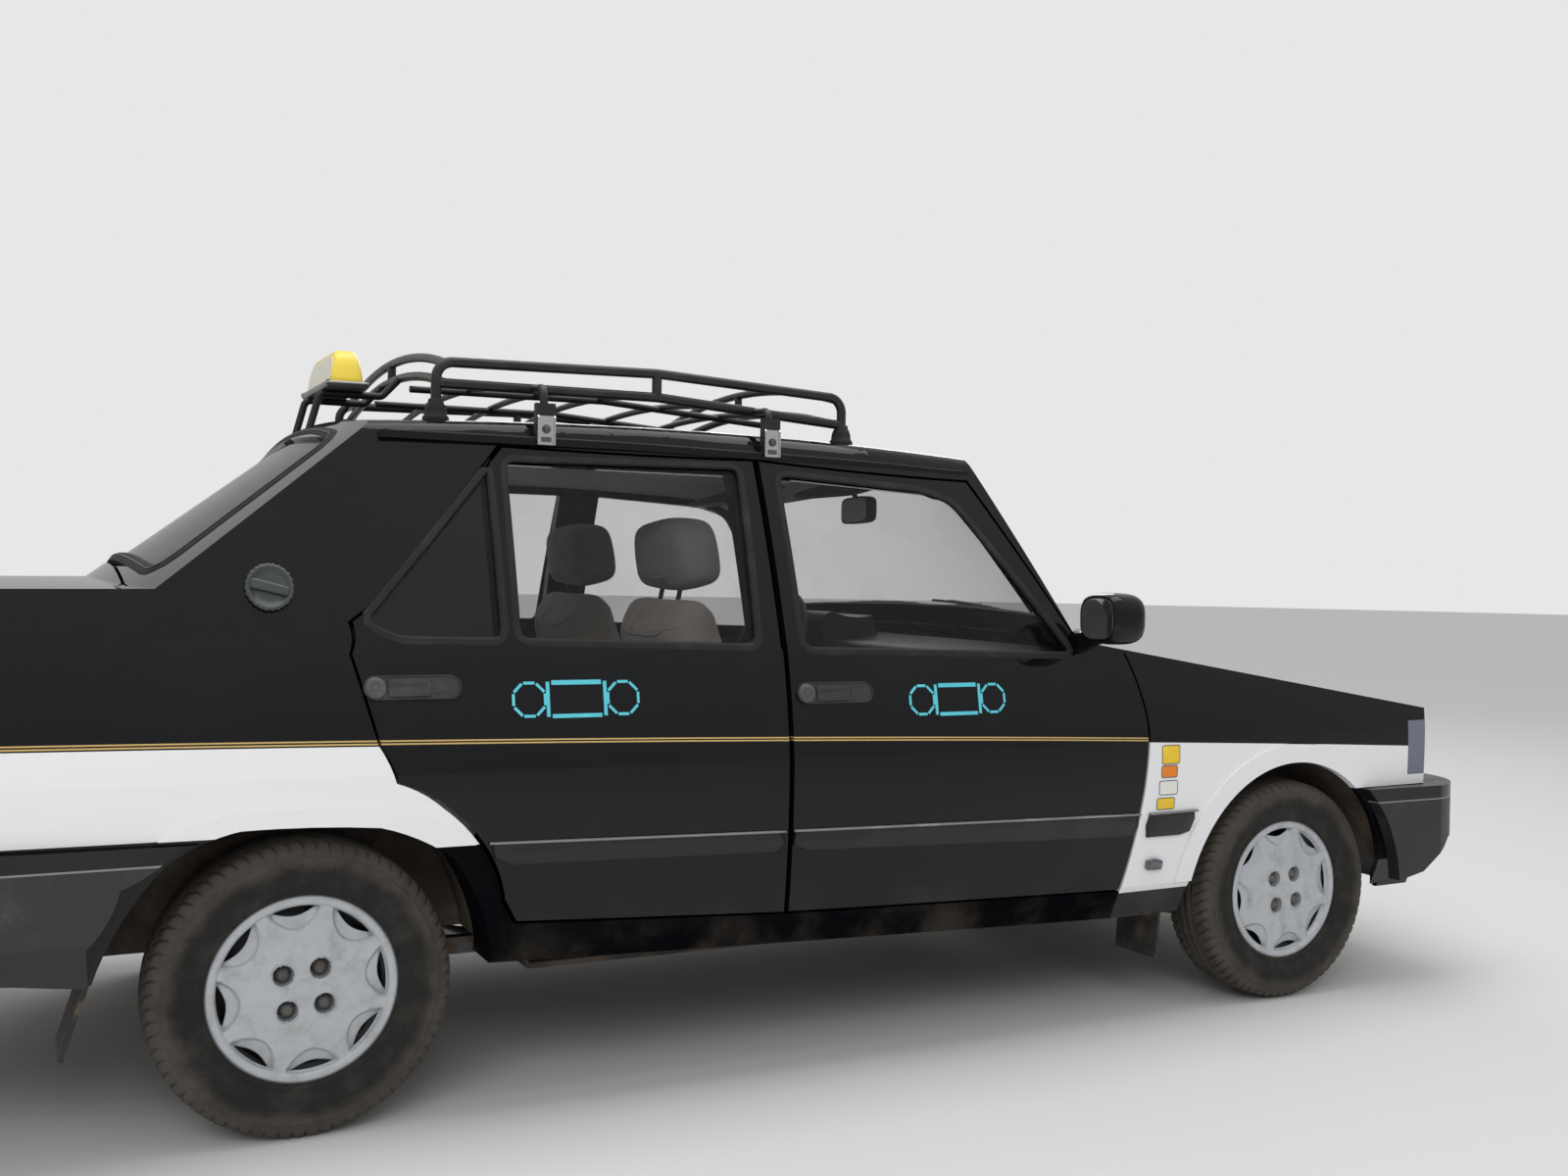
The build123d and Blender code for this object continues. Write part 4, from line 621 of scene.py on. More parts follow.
finishes = {
    "panel": bodyPaint("panelPaint"),
    "quarter": bodyPaint("quarterPaint", white=(-3.0, -0.60), gold=True, dull=(-0.86, 1.0, 0.560),
                         ends=[(-3.0, -1.24, 0.600)]),
    "fender": bodyPaint("fenderPaint", white=(0.6, 3.0), ends=[(1.58, 3.0, 0.548), (0.6, 1.25, 0.330)]),
    "door": bodyPaint("doorPaint", gold=True),
    "bumper": plasticTrim("rearBumperPlastic", (0.024, 0.025, 0.027), 0.38, 0.3, bands=(0.560, 0.4285)),
    "bumperFront": plasticTrim("frontBumperPlastic", (0.016, 0.0165, 0.018), 0.38, 0.3, bands=(0.512, 0.20)),
    "trim": plasticTrim("trimPlastic", (0.010, 0.010, 0.011), 0.34, 0.15),
    "handle": plasticTrim("handlePlastic", (0.03, 0.03, 0.032), 0.36, 0.1),
    "gasket": rubber("gasketRubber", dusty=0.12),
    "flap": rubber("flapRubber", (0.03, 0.028, 0.026), 0.85),
    "under": underbody("underbodyCoat"),
    "liner": underbody("linerDust", (0.06, 0.05, 0.042), 0.95),
    "iron": castIron("castIron"),
    "steel": steel("dullSteel"),
    "bright": steel("brightSteel", (0.62, 0.62, 0.62), 0.16),
    "bolt": steel("boltSteel", (0.16, 0.155, 0.15), 0.35),
    "silver": silverPaint("wheelSilver"),
    "rim": steel("rimSteel", (0.10, 0.10, 0.105), 0.45),
    "glass": glassPane("windowGlass"),
    "mirror": plainFinish("mirrorFace", (0.85, 0.87, 0.88), 1.0, 0.03),
    # the inner mirror's glass: pale grey and only partly metallic, a painted reflection
    "mirrorPale": plainFinish("mirrorPale", (0.66, 0.66, 0.68), 0.35, 0.22),
    # near-black matte finish for the disc inside the exhaust's end: painted shade
    "bore": plainFinish("pipeBoreShade", (0.004, 0.004, 0.004), 0.0, 0.9),
    "reflector": reflector("lampReflector"),
    "tailRed": tailGlass("tailLampGlass"),
    "clearGlass": lens("clearLampGlass", (0.85, 0.87, 0.88), (0.0, 60.0, 0.0), 0.22),
    "trayGrey": steel("trayGrey", (0.50, 0.50, 0.49), 0.42),
    "cloth": wovenCloth("seatCloth", palette["cloth"]),
    "clothSide": wovenCloth("seatSideCloth", (0.235, 0.220, 0.220)),
    "headlining": wovenCloth("headlining", palette["head"], 260.0, 0.15),
    "carpet": wovenCloth("floorCarpet", (0.045, 0.042, 0.040), 180.0, 0.5),
    "dash": plasticTrim("dashPlastic", (0.022, 0.022, 0.023), 0.55, 0.2, 700.0, 0.2),
    "tyre": tyreRubber("tyreRubber"),
    "rack": plasticTrim("rackPaint", (0.012, 0.012, 0.013), 0.28, 0.3, 260.0, 0.06),
    "signYellow": litPlastic("signYellow", palette["yellow"]),
    "signCream": litPlastic("signCream", palette["cream"]),
    "decal": plasticTrim("cyanTape", palette["cyan"], 0.3, 0.05, 900.0, 0.02),
    "paleTrim": plasticTrim("paleTrim", (0.20, 0.20, 0.205), 0.30, 0.1),
    "lock": plasticTrim("lockGrey", (0.060, 0.064, 0.068), 0.28, 0.05),
    "capGrey": plasticTrim("capGrey", (0.045, 0.05, 0.052), 0.25, 0.1, 900.0, 0.05),
    "shell": bodyPaint("mirrorShell"),
    "smoke": lens("smokedLens", (0.05, 0.055, 0.07), (200.0, 0.0, 0.0), 1.0),
    "orange": plasticTrim("orangeTape", (0.80, 0.22, 0.02), 0.3, 0.05, 900.0, 0.02),
    "yellowTape": plasticTrim("yellowTape", (0.82, 0.55, 0.03), 0.3, 0.05, 900.0, 0.02),
    "whiteTape": plasticTrim("whiteTape", (0.78, 0.77, 0.72), 0.3, 0.05, 900.0, 0.02),
}
# The slot that each look piece's finish belongs to, unless its own call names another
slotNames = {
    "black_plastic": "trim gasket paleTrim handle lock decal smoke capGrey shell", "dash_plastic": "dash",
    "steel": "bright bolt trayGrey rim steel bore", "cloth": "cloth clothSide headlining carpet",
    "glass": "mirror mirrorPale", "sign_yellow": "signYellow signCream", "lamp_glass": "clearGlass",
    "white_paint": "yellowTape orange whiteTape", "red_lamp": "tailRed", "tyre": "tyre", "wheel_silver": "silver",
}
finishSlots = {finish: slot for slot, names in slotNames.items() for finish in names.split()}
print("finishes made:", len(finishes))

# Each CAD node keeps its shape and takes a better finish
nodeFinish = {
    "roof_panel": "panel", "side_frames": "quarter", "front_fenders": "fender", "hood": "panel", "cowl_panel": "panel",
    "boot_lid": "panel", "rear_panels": "panel", "nose_panel": "panel", "headlamps": "reflector",
    "tail_lamps": "tailRed",
    "grille": "trim", "front_bumper": "bumperFront", "rear_bumper": "bumper", "floor_pan": "under",
    "wheelhouses": "liner",
    "engine_block": "iron", "screens": "glass", "roof_rack": "rack", "taxi_sign": "signYellow", "fuel_cap": "trim",
    "mud_flaps": "flap", "front_suspension": "iron", "rear_axle": "iron", "exhaust": "steel", "front_seats": "cloth",
    "rear_seat": "cloth", "dashboard": "dash", "steering_wheel": "dash",
}
for side in ("right", "left"):
    nodeFinish["mirror_" + side] = "trim"
    nodeFinish["knuckle_" + side] = "iron"
    for end in ("front", "rear"):
        nodeFinish[f"door_{end}_{side}"] = "door"
        nodeFinish[f"door_glass_{end}_{side}"] = "glass"
        nodeFinish[f"wheel_{end}_{side}"] = "rim"
        nodeFinish[f"tyre_{end}_{side}"] = "tyre"
for name, finish in nodeFinish.items():
    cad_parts[name].data.materials.clear()
    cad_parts[name].data.materials.append(finishes[finish])
print("CAD nodes finished:", len(nodeFinish))


# The camera stands where the photographer stood, across the road by the rear wheel

view = {"place": (-1.581, -3.728, 1.099), "yaw": 26.86, "pitch": -0.60, "roll": 0.96, "focal": 35.08}


def setCamera():
    yaw, pitch, roll = (radians(view[key]) for key in ("yaw", "pitch", "roll"))
    ahead = Vector((sin(yaw) * cos(pitch), cos(yaw) * cos(pitch), sin(pitch)))
    across = Vector((cos(yaw), -sin(yaw), 0))
    up = across.cross(ahead)
    right, over = across * cos(roll) + up * sin(roll), up * cos(roll) - across * sin(roll)
    turn = Matrix((right, over, -ahead)).transposed().to_4x4()
    lens = bpy.data.cameras.new("photoCamera")
    lens.lens, lens.sensor_width, lens.clip_end = view["focal"], 36.0, 200.0
    camera = bpy.data.objects.new("photoCamera", lens)
    camera.matrix_world = Matrix.Translation(view["place"]) @ turn
    bpy.context.scene.collection.objects.link(camera)
    bpy.context.scene.camera = camera


# Soft boxes: (name, place, aimed at, width, depth, watts)
softBoxes = [
    ("topBox", (0.0, -0.5, 6.0), (0.0, 0.0, 0.5), 6.0, 3.5, 150),
    ("streetBox", (-3.5, -6.5, 4.5), (0.0, -0.8, 0.7), 5.0, 2.5, 170),
    ("farBox", (3.5, 6.5, 4.5), (0.0, 0.8, 0.7), 5.0, 2.5, 120),
]


def setLights():
    for name, place, aim, width, depth, watts in softBoxes:
        lamp = bpy.data.lights.new(name, "AREA")
        lamp.shape, lamp.size, lamp.size_y, lamp.energy = "RECTANGLE", width, depth, watts
        box = bpy.data.objects.new(name, lamp)
        ahead = Vector(aim) - Vector(place)
        box.matrix_world = Matrix.Translation(place) @ ahead.to_track_quat("-Z", "Y").to_matrix().to_4x4()
        box.visible_glossy = name != "streetBox"
        bpy.context.scene.collection.objects.link(box)


def setWorld():
    # a pale room: darker at the horizon than overhead, plain pale where the camera looks
    world = bpy.data.worlds.new("paleRoom")
    bpy.context.scene.world = world
    world.use_nodes = True
    tree = world.node_tree
    back = tree.nodes["Background"]
    place = tree.nodes.new("ShaderNodeTexCoord")
    split = tree.nodes.new("ShaderNodeSeparateXYZ")
    ramp = tree.nodes.new("ShaderNodeValToRGB")
    tree.links.new(place.outputs["Generated"], split.inputs[0])
    tree.links.new(split.outputs["Z"], ramp.inputs["Fac"])
    for element, (at, tone) in zip(ramp.color_ramp.elements, ((0.0, 0.44), (0.7, 0.74))):
        element.position, element.color = at, (tone, tone, tone * 1.01, 1)
    path = tree.nodes.new("ShaderNodeLightPath")
    mix = tree.nodes.new("ShaderNodeMix")
    mix.data_type = "RGBA"
    tree.links.new(path.outputs["Is Camera Ray"], mix.inputs[0])
    tree.links.new(ramp.outputs["Color"], mix.inputs[6])
    mix.inputs[7].default_value = (0.80, 0.80, 0.80, 1)
    tree.links.new(mix.outputs[2], back.inputs["Color"])


def setFloor():
    f = Finish("paleFloor", {"Specular IOR Level": 0.2})
    fine = f.noise(45.0, 6.0, 0.6)
    wide = f.noise(0.6, 3.0, 0.5)
    tone = f.mix(fine * 0.25 + wide * 0.2, (0.66, 0.655, 0.645), (0.74, 0.735, 0.725))
    f.to(Base_Color=tone, Roughness=0.85 + fine * 0.1, Normal=f.bump(fine, 0.15, 0.002))
    reach, rings = 60.0, 24
    turn = np.linspace(0, 2 * pi, 64, endpoint=False)
    radius = reach * np.linspace(0, 1, rings)[1:] ** 2
    radius = radius[:, None]
    points = np.stack([radius * np.cos(turn), radius * np.sin(turn), 0 * radius + 0 * turn], -1)
    faces = quads(rings - 1, 64, False, True) + [tuple(range(64))]
    mesh = bpy.data.meshes.new("floor")
    mesh.from_pydata(points.reshape(-1, 3).tolist(), [], faces)
    mesh.materials.append(f.material)
    floor = bpy.data.objects.new("floor", mesh)
    bpy.context.scene.collection.objects.link(floor)


bpy.context.scene.view_settings.view_transform = "Standard"
setCamera()
setLights()
setWorld()
setFloor()
print("camera, lights, room and floor set")


# Wheels: a lathed tyre with cut tread, a pressed steel rim and a silver trim with eight openings

hubs = {"front": (frontAxle, 0.686), "rear": (rearAxle, 0.661)}
tyreShape = {"crown": 0.287, "blocks": 68, "steps": 6, "slant": 0.55, "deep": 0.0062, "shoulder": 0.030}


def tyreGrid():
    # half a section from bead to crown, mirrored; then grooves cut by depth
    s = tyreShape
    wall = [(0.1800, 0.0600), (0.1815, 0.0660), (0.1850, 0.0702), (0.1885, 0.0712), (0.1900, 0.0700), (0.2050, 0.0772),
            (0.2200, 0.0812), (0.2230, 0.0822), (0.2260, 0.0818), (0.2400, 0.0826), (0.2500, 0.0812), (0.2540, 0.0808),
            (0.2550, 0.0796), (0.2640, 0.0762), (0.2720, 0.0722), (0.2790, 0.0665)]
    tread = [0.0610, 0.0560, 0.0500, 0.0440, 0.0380, 0.0320, 0.0285, 0.0270, 0.0232, 0.0217, 0.0150, 0.0090, 0.0035,
             0.0020]
    crown = [(s["crown"] - 0.0045 * (y / 0.061) ** 2, y) for y in tread]
    half = np.array(wall + crown)
    section = np.vstack([half, half[::-1] * [1, -1], [(0.1690, -0.0560), (0.1690, 0.0560)]])
    radius, y = section.T
    rows = s["blocks"] * s["steps"]
    turn = 2 * pi * np.arange(rows) / rows
    slant = s["slant"] * np.clip(np.abs(y) - s["shoulder"], 0, 0.04) / s["crown"]
    angle = turn[:, None] + slant * np.sign(y)
    ring = np.isin(np.round(np.abs(y), 4), (0.0270, 0.0232, 0.0020)) & (radius > 0.27)
    lug = (np.arange(rows) % s["steps"] < 1)[:, None]
    shoulder = np.clip((np.abs(y) - s["shoulder"]) / 0.004, 0, 1) * np.clip((radius - 0.262) / 0.016, 0, 1)
    fine = (np.arange(rows) % s["steps"] == 3)[:, None] & (np.abs(y) < 0.0200) & (np.abs(y) > 0.006)
    cut = np.maximum(ring * 1.0, np.maximum(lug * shoulder, fine * 0.45))
    radius = radius - cut * s["deep"]
    return angle, radius, np.broadcast_to(y, radius.shape), cut, np.clip((radius - 0.225) / 0.035, 0, 1)


def tyreAt(end):
    x, y = hubs[end]
    angle, radius, off, cut, wall = tyreGrid()
    points = np.stack([x + radius * np.cos(angle), off - y, wheelZ + radius * np.sin(angle)], -1)
    return points.reshape(-1, 3), quads(*radius.shape, True, True), cut, wall


rimShape = [(0.1815, 0.0630), (0.1770, 0.0605), (0.1690, 0.0560), (0.1660, 0.0400), (0.1530, 0.0330), (0.1510, 0.0100),
            (0.1420, 0.0130), (0.1180, 0.0290), (0.0900, 0.0330), (0.0700, 0.0250), (0.0320, 0.0250), (0.0290, 0.0400),
            (0.0040, 0.0410), (0.0040, 0.0210), (0.0700, 0.0210), (0.0900, 0.0290), (0.1160, 0.0250), (0.1410, 0.0080),
            (0.1480, 0.0060), (0.1480, -0.0280), (0.1620, -0.0400), (0.1640, -0.0560), (0.1740, -0.0600),
            (0.1800, -0.0660), (0.1815, -0.0630), (0.1770, -0.0575), (0.1680, -0.0540), (0.1660, -0.0400),
            (0.1520, -0.0260), (0.1520, 0.0060)]


def rimAt(end):
    x, y = hubs[end]
    profile = [(radius, -off) for radius, off in rimShape]
    return lathe(profile, (x, -y, wheelZ), 96)


trimShape = {"edge": 0.1818, "face": 0.0625, "dome": 0.0055, "band": 0.1600, "lift": 0.0048, "dish": 0.0125,
             "openings": 8,
             "reach": radians(17.6), "dip": 0.044, "slot": radians(14.6), "slotDip": 0.0165, "slotEdge": 0.1583,
             "turn": radians(7.0), "sides": 256, "bolts": 4, "boltCircle": 0.049, "boltHole": 0.0190, "gauge": 0.0018}


def trimAt(end):
    # a polar grid: its rings bend inwards to follow each opening, whose faces are then left out
    s = trimShape
    x, y = hubs[end]
    turn = 2 * pi * np.arange(s["sides"]) / s["sides"]
    pitch = 2 * pi / s["openings"]
    swing = (turn - s["turn"] + pitch / 2) % pitch - pitch / 2
    slot = np.clip(1 - (swing / s["slot"]) ** 2, 0, 1)
    low = s["slotEdge"] - 0.0006 - s["slotDip"] * slot
    share = np.linspace(0, 1, 16)[:, None]
    inner = 0.108 + (low - 0.108) * share
    centreRings = [0.002, 0.010, 0.0195, 0.0205, 0.0215, 0.028, *np.linspace(0.034, 0.100, 14)]
    outer = [s["slotEdge"], 0.1597, 0.1606, 0.1616, 0.1640, 0.1680, 0.1720, 0.1760, 0.1790, 0.1808, s["edge"], 0.1812]
    even = np.ones(s["sides"])
    radius = np.vstack([np.outer(centreRings, even), inner, np.outer(outer, even)])
    face = s["face"] + s["dome"] * (1 - (radius / 0.15) ** 2)
    dishEdge = s["band"] - s["dip"] * np.clip(1 - (swing / s["reach"]) ** 2, 0, 1) ** 0.55
    inDish = (np.abs(swing) < s["reach"]) * np.clip((radius - dishEdge) / np.maximum(s["band"] - dishEdge, 1e-4), 0, 1)
    edge = np.clip((radius - dishEdge) / 0.0025, 0, 1) * (np.abs(swing) < s["reach"])
    sunk = (edge * 0.35 + inDish * 0.65) * (radius < s["band"] + 0.0002)
    band = np.clip((radius - 0.1606) / 0.0050, 0, 1)
    roll = np.clip((radius - 0.1750) / (s["edge"] - 0.1750), 0, 1)
    out = face - s["dish"] * sunk + s["lift"] * band * (1 - roll ** 2.2) - 0.0035 * roll ** 2
    out[-1] -= 0.0065
    out = out - (np.abs(radius - 0.0205) < 0.0004) * 0.0008
    points = np.stack([x + radius * np.cos(turn), -y - out, wheelZ + radius * np.sin(turn)], -1)
    rings, sides = radius.shape
    faces = np.array(quads(rings, sides, False, True)).reshape(rings - 1, sides, 4)
    keep = np.ones((rings - 1, sides), bool)
    middle = (turn + pi / sides - s["turn"] + pitch / 2) % pitch - pitch / 2
    keep[len(centreRings) + len(inner) - 1] = np.abs(middle) > s["slot"]
    centre = (radius[:-1] + radius[1:]) / 2
    for k in range(s["bolts"]):
        at = pi / 4 + s["turn"] + k * pi / 2
        gap = np.hypot(centre * np.cos(turn + pi / sides) - s["boltCircle"] * np.cos(at),
                       centre * np.sin(turn + pi / sides) - s["boltCircle"] * np.sin(at))
        keep &= gap > s["boltHole"] + 0.0008
    return points.reshape(-1, 3), faces[keep].tolist() + [tuple(range(sides))]


def boltCups(end):
    # a beaded cup for each bolt, flush with the trim's face
    s = trimShape
    x, y = hubs[end]
    cup = [(0.0232, -0.0008), (0.0226, 0.0006), (0.0212, 0.0010), (0.0202, 0.0004), (0.0196, -0.0030),
           (0.0192, -0.0170), (0.0010, -0.0175), (0.0010, -0.0190), (0.0206, -0.0185), (0.0210, -0.0030),
           (0.0220, -0.0017)]
    head = [(0.0001, -0.0015), (0.0060, -0.0022), (0.0110, -0.0050), (0.0145, -0.0095), (0.0158, -0.0140),
            (0.0158, -0.0176), (0.0001, -0.0178)]
    face = s["face"] + s["dome"] * (1 - (s["boltCircle"] / 0.15) ** 2)
    cups, heads = [], []
    for k in range(s["bolts"]):
        at = pi / 4 + s["turn"] + k * pi / 2
        place = (x + s["boltCircle"] * cos(at), -y - face, wheelZ + s["boltCircle"] * sin(at))
        cups.append(lathe([(r, -w) for r, w in cup], place, 32))
        heads.append(lathe([(r, -w) for r, w in head], place, 24))
    return joined(cups), joined(heads)


def wheelPiece(name, shape, finish):
    # one wheel's own piece, on the side and end that its loop has reached
    return newPiece(name, (mirrored(shape[0], side), shape[1]), finish, f"wheel_{end}_{label}")


for end in ("front", "rear"):
    for label, side in (("right", -1), ("left", 1)):
        tag = end + label.title()
        points, faces, cut, wall = tyreAt(end)
        tyre = wheelPiece("tyre" + end.title() + label.title(), (points, faces), "tyre")
        for key, values in (("groove", cut), ("wall", wall)):
            tyre.data.attributes.new(key, "FLOAT", "POINT").data.foreach_set("value", values.astype(np.float32).ravel())
        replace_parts(tyre, f"tyre_{end}_{label}")
        softened(wheelPiece("steelRim" + tag, rimAt(end), "rim"))
        trim = wheelPiece("wheelTrim" + tag, trimAt(end), "silver")
        shell = trim.modifiers.new("gauge", "SOLIDIFY")
        shell.thickness, shell.offset = trimShape["gauge"], -1
        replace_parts(trim, f"wheel_{end}_{label}")
        cups, heads = boltCups(end)
        wheelPiece("boltCups" + tag, cups, "silver")
        softened(wheelPiece("wheelBolts" + tag, heads, "bolt"))
print("wheels made")


# Outside trim on the right side in side view (x, z); the left side is its mirror image

def patchOn(corners, low, high, radius=0.006, gap=0.03, crown=0.001, surface=onSide):
    # a raised patch whose outline is rounded and laid out evenly so that it follows the surface
    return slabOn(surface, spaced(rounded(corners, radius), gap), low, high, crown)


mouldings = {
    "door_rear_{}": [(-0.743, 0.563), (-0.727, 0.516), (-0.097, 0.502), (-0.097, 0.547)],
    "door_front_{}": [(-0.077, 0.547), (-0.077, 0.502), (0.862, 0.471), (0.876, 0.526)],
    "body": [(0.905, 0.525), (0.892, 0.466), (1.033, 0.466), (1.062, 0.526)],
}
for key, (body, corners) in zip(("Rear", "Front", "Fender"), mouldings.items()):
    bothSides("moulding" + key, patchOn(corners, -0.002, 0.0085, 0.004, 0.035, 0.002), "trim", body)
for key, (x0, z0, x1, z1), body in (("Rear", (-0.742, 0.5605, -0.0975, 0.5447), "door_rear_{}"),
                                    ("Front", (-0.0765, 0.5447, 0.8755, 0.5238), "door_front_{}"),
                                    ("Fender", (0.9055, 0.5228, 1.060, 0.5238), "body")):
    path = np.linspace((x0, z0), (x1, z1), 24)
    section = [(-0.0022, 0.0060), (-0.0018, 0.0094), (0.0018, 0.0094), (0.0026, 0.0050), (0.0026, -0.001),
               (-0.0022, -0.001)]
    bothSides("mouldingEdge" + key, stripOn(onSide, path, section, False), "paleTrim", body)


# Window gaskets round the side windows, the windscreen and the back glass, the last two with a fillet strip
gasketShape = [(-0.011, -0.012), (-0.011, -0.0015), (-0.006, 0.0020), (0.004, 0.0018), (0.008, -0.0020),
               (0.008, -0.012)]
gaskets = (("front", 0.030, "door_front_{}"), ("rear", 0.024, "door_rear_{}"), ("quarter", 0.024, "door_rear_{}"))
for key, radius, body in gaskets:
    path = spaced(rounded(paneRows[key], radius), 0.018)
    bothSides("gasket" + key.title(), stripOn(onSide, path, gasketShape), "gasket", body, smooth=False)
screenGasket = [(-0.020, -0.012), (-0.020, 0.0005), (-0.012, 0.0035), (0.004, 0.0030), (0.012, -0.0030),
                (0.012, -0.012)]
for key, surface in (("screen", onScreen), ("back", onBackGlass)):
    path = spaced(rounded(paneRows[key], 0.055), 0.03)
    newPiece(key + "Gasket", stripOn(surface, path, screenGasket), "gasket", smooth=False)
    bright = [(-0.0062, 0.0020), (-0.0062, 0.0052), (-0.0020, 0.0052), (-0.0020, 0.0020)]
    newPiece(key + "GasketFillet", stripOn(surface, path, bright), "trim", smooth=False)


# Door handles: a stadium plate, a round lock button and a pull with its grip line
handle = {"length": 0.188, "height": 0.046, "plate": 0.0045, "lock": 0.0205, "pull": (0.046, 0.128), "grip": 0.0095}


def stadium(x0, x1, z, half, count=14):
    turn = np.linspace(-pi / 2, pi / 2, count)
    right = np.stack([x1 - half + half * np.cos(turn), z + half * np.sin(turn)], -1)
    left = np.stack([x0 + half - half * np.cos(turn), z - half * np.sin(turn)], -1)
    return np.vstack([right, left])


def handleAt(x, z):
    h = handle
    half, rimHeight = h["height"] / 2, h["plate"] + 0.0022
    x0, x1 = x + h["pull"][0], x + h["pull"][1]
    parts = [slabOn(onSide, stadium(x, x + h["length"], z, half), -0.002, h["plate"], 0.0015),
             stripOn(onSide, spaced(stadium(x + 0.001, x + h["length"] - 0.001, z, half - 0.001), 0.006),
                     [(-0.0012, 0.002), (-0.0008, rimHeight), (0.0012, rimHeight), (0.0018, 0.002)]),
             patchOn(oblong(x0, x1, z - 0.017, z + 0.017), 0.001, h["grip"], 0.004, 0.006, 0.002)]
    for foot in (z + 0.0075, z + 0.0035):
        parts.append(patchOn(oblong(x0 + 0.005, x1 - 0.006, foot, foot + 0.0022), 0.004, h["grip"] + 0.0014, 0.0005,
                             0.006,
                             0.0004))
    well = [(x1 + 0.004, z - 0.014), (x1 + 0.036, z - 0.010), (x1 + 0.036, z + 0.010), (x1 + 0.004, z + 0.014)]
    parts.append(patchOn(well, 0.001, h["plate"] + 0.0012, 0.008, 0.006, 0.0008))
    return joined(parts)


def lockAt(x, z):
    # a shallow dome with a keyhole ring
    edge = handle["lock"]
    rows = [(edge, 0.001), (edge, 0.0085), (edge - 0.002, 0.0108), (0.0125, 0.0122), (0.0085, 0.0126),
            (0.0078, 0.0112), (0.0066, 0.0112), (0.0060, 0.0124), (0.0020, 0.0126)]
    return discOn(onSide, (x + 0.0225, z), [(*row, 0) for row in rows], 40)


for key, x, z, body in (("Rear", -0.984, 0.866, "door_rear_{}"), ("Front", -0.066, 0.838, "door_front_{}")):
    bothSides("doorHandle" + key, handleAt(x, z), "handle", body, smooth=False)
    bothSides("doorLock" + key, lockAt(x, z), "lock", body)


# Blank number frames taped on the doors: an eight-sided cell, a long cell and another eight-sided cell
def frameTape(x0, x1, z0, z1):
    cell, middle = (z1 - z0) * 0.94, (z0 + z1) / 2
    parts = []

    def run(a, b, wide=1.0):
        section = [(u * wide, v) for u, v in ridge(0.0029, 0.0001, 0.0027, 0.0007)]
        parts.append(stripOn(onSide, np.linspace(a, b, 6), section, False))

    reach = cell / 2 / cos(pi / 8)
    for centre in (x0 + cell / 2, x1 - cell / 2):
        turn = np.linspace(0, 2 * pi, 9) + pi / 8
        ring = np.stack([centre + reach * np.cos(turn), middle + reach * np.sin(turn)], -1)
        for a, b in zip(ring[:-1], ring[1:]):
            run(a + (b - a) * 0.07, b - (b - a) * 0.07)
    left, right = x0 + cell + 0.006, x1 - cell - 0.006
    run((left, z0), (left, z1), 1.3)
    run((right, z0), (right, z1), 1.3)
    run((left + 0.008, z0 + 0.001), (right - 0.008, z0 + 0.001), 1.4)
    run((left + 0.008, z1 - 0.002), (right - 0.008, z1 - 0.002), 1.6)
    return joined(parts)


bothSides("numberFrameRear", frameTape(-0.693, -0.431, 0.803, 0.872), "decal", "door_rear_{}", smooth=False)
bothSides("numberFrameFront", frameTape(0.220, 0.476, 0.783, 0.850), "decal", "door_front_{}", smooth=False)


# Plain stickers on the white fender, and its side repeater
stickers = (("One", "yellowTape", (0.943, 0.666), 0.056, 0.045), ("Two", "orange", (0.942, 0.6245), 0.050, 0.029),
            ("Three", "whiteTape", (0.936, 0.5845), 0.058, 0.034),
            ("Four", "yellowTape", (0.930, 0.5455), 0.056, 0.028))
for key, finish, (x, z), width, height in stickers:
    box = oblong(x, x + width, z - height / 2, z + height / 2)
    newPiece("sticker" + key, patchOn(box, 0.0001, 0.0006, 0.004, 0.006, 0.0001), finish, smooth=False)
    section = [(-0.0010, 0.0002), (-0.0010, 0.0008), (0.0010, 0.0008), (0.0010, 0.0002)]
    newPiece("sticker" + key + "Rim", stripOn(onSide, spaced(rounded(box, 0.004), 0.005), section), "lock",
             smooth=False)
repeater = [(0.905, 0.385), (0.952, 0.383), (0.955, 0.405), (0.933, 0.412), (0.905, 0.408)]
bothSides("sideRepeater", patchOn(repeater, -0.001, 0.011, 0.004, 0.006, 0.003), "smoke")


# The fuel cap: a fluted rim, a dished face and a bar to turn it by
capShape = {"at": (-1.147, 1.055), "radius": 0.0445, "flutes": 24}
# rows of (inset from the cap's radius, height off the panel, whether it is fluted)
capProfile = [(0, -0.002, 0), (0, 0.0075, 1), (0.0020, 0.0110, 1), (0.0055, 0.0122, 0), (0.0090, 0.0100, 0),
              (0.0115, 0.0060, 0), (0.0200, 0.0048, 0), (capShape["radius"] - 0.002, 0.0045, 0)]
capRows = [(capShape["radius"] - inset, off, wavy) for inset, off, wavy in capProfile]
cap = discOn(onSide, capShape["at"], capRows, 144, capShape["flutes"])
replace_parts(newPiece("fuelCapFace", cap, "capGrey"), "fuel_cap")
tilt = radians(-14)
bar = np.array([(-0.0355, -0.0095), (0.0355, -0.0085), (0.0355, 0.0085), (-0.0355, 0.0095)])
bar = np.stack([bar[:, 0] * cos(tilt) - bar[:, 1] * sin(tilt),
                bar[:, 0] * sin(tilt) + bar[:, 1] * cos(tilt)], -1) + capShape["at"]
newPiece("fuelCapBar", patchOn(bar, 0.003, 0.0120, 0.003, 0.004, 0.001), "capGrey")


# The door mirror: a rounded shell on a short foot, its glass facing back
mirrorShape = {"centre": (0.712, -0.897, 1.003), "half": (0.060, 0.073, 0.060), "face": 0.668}


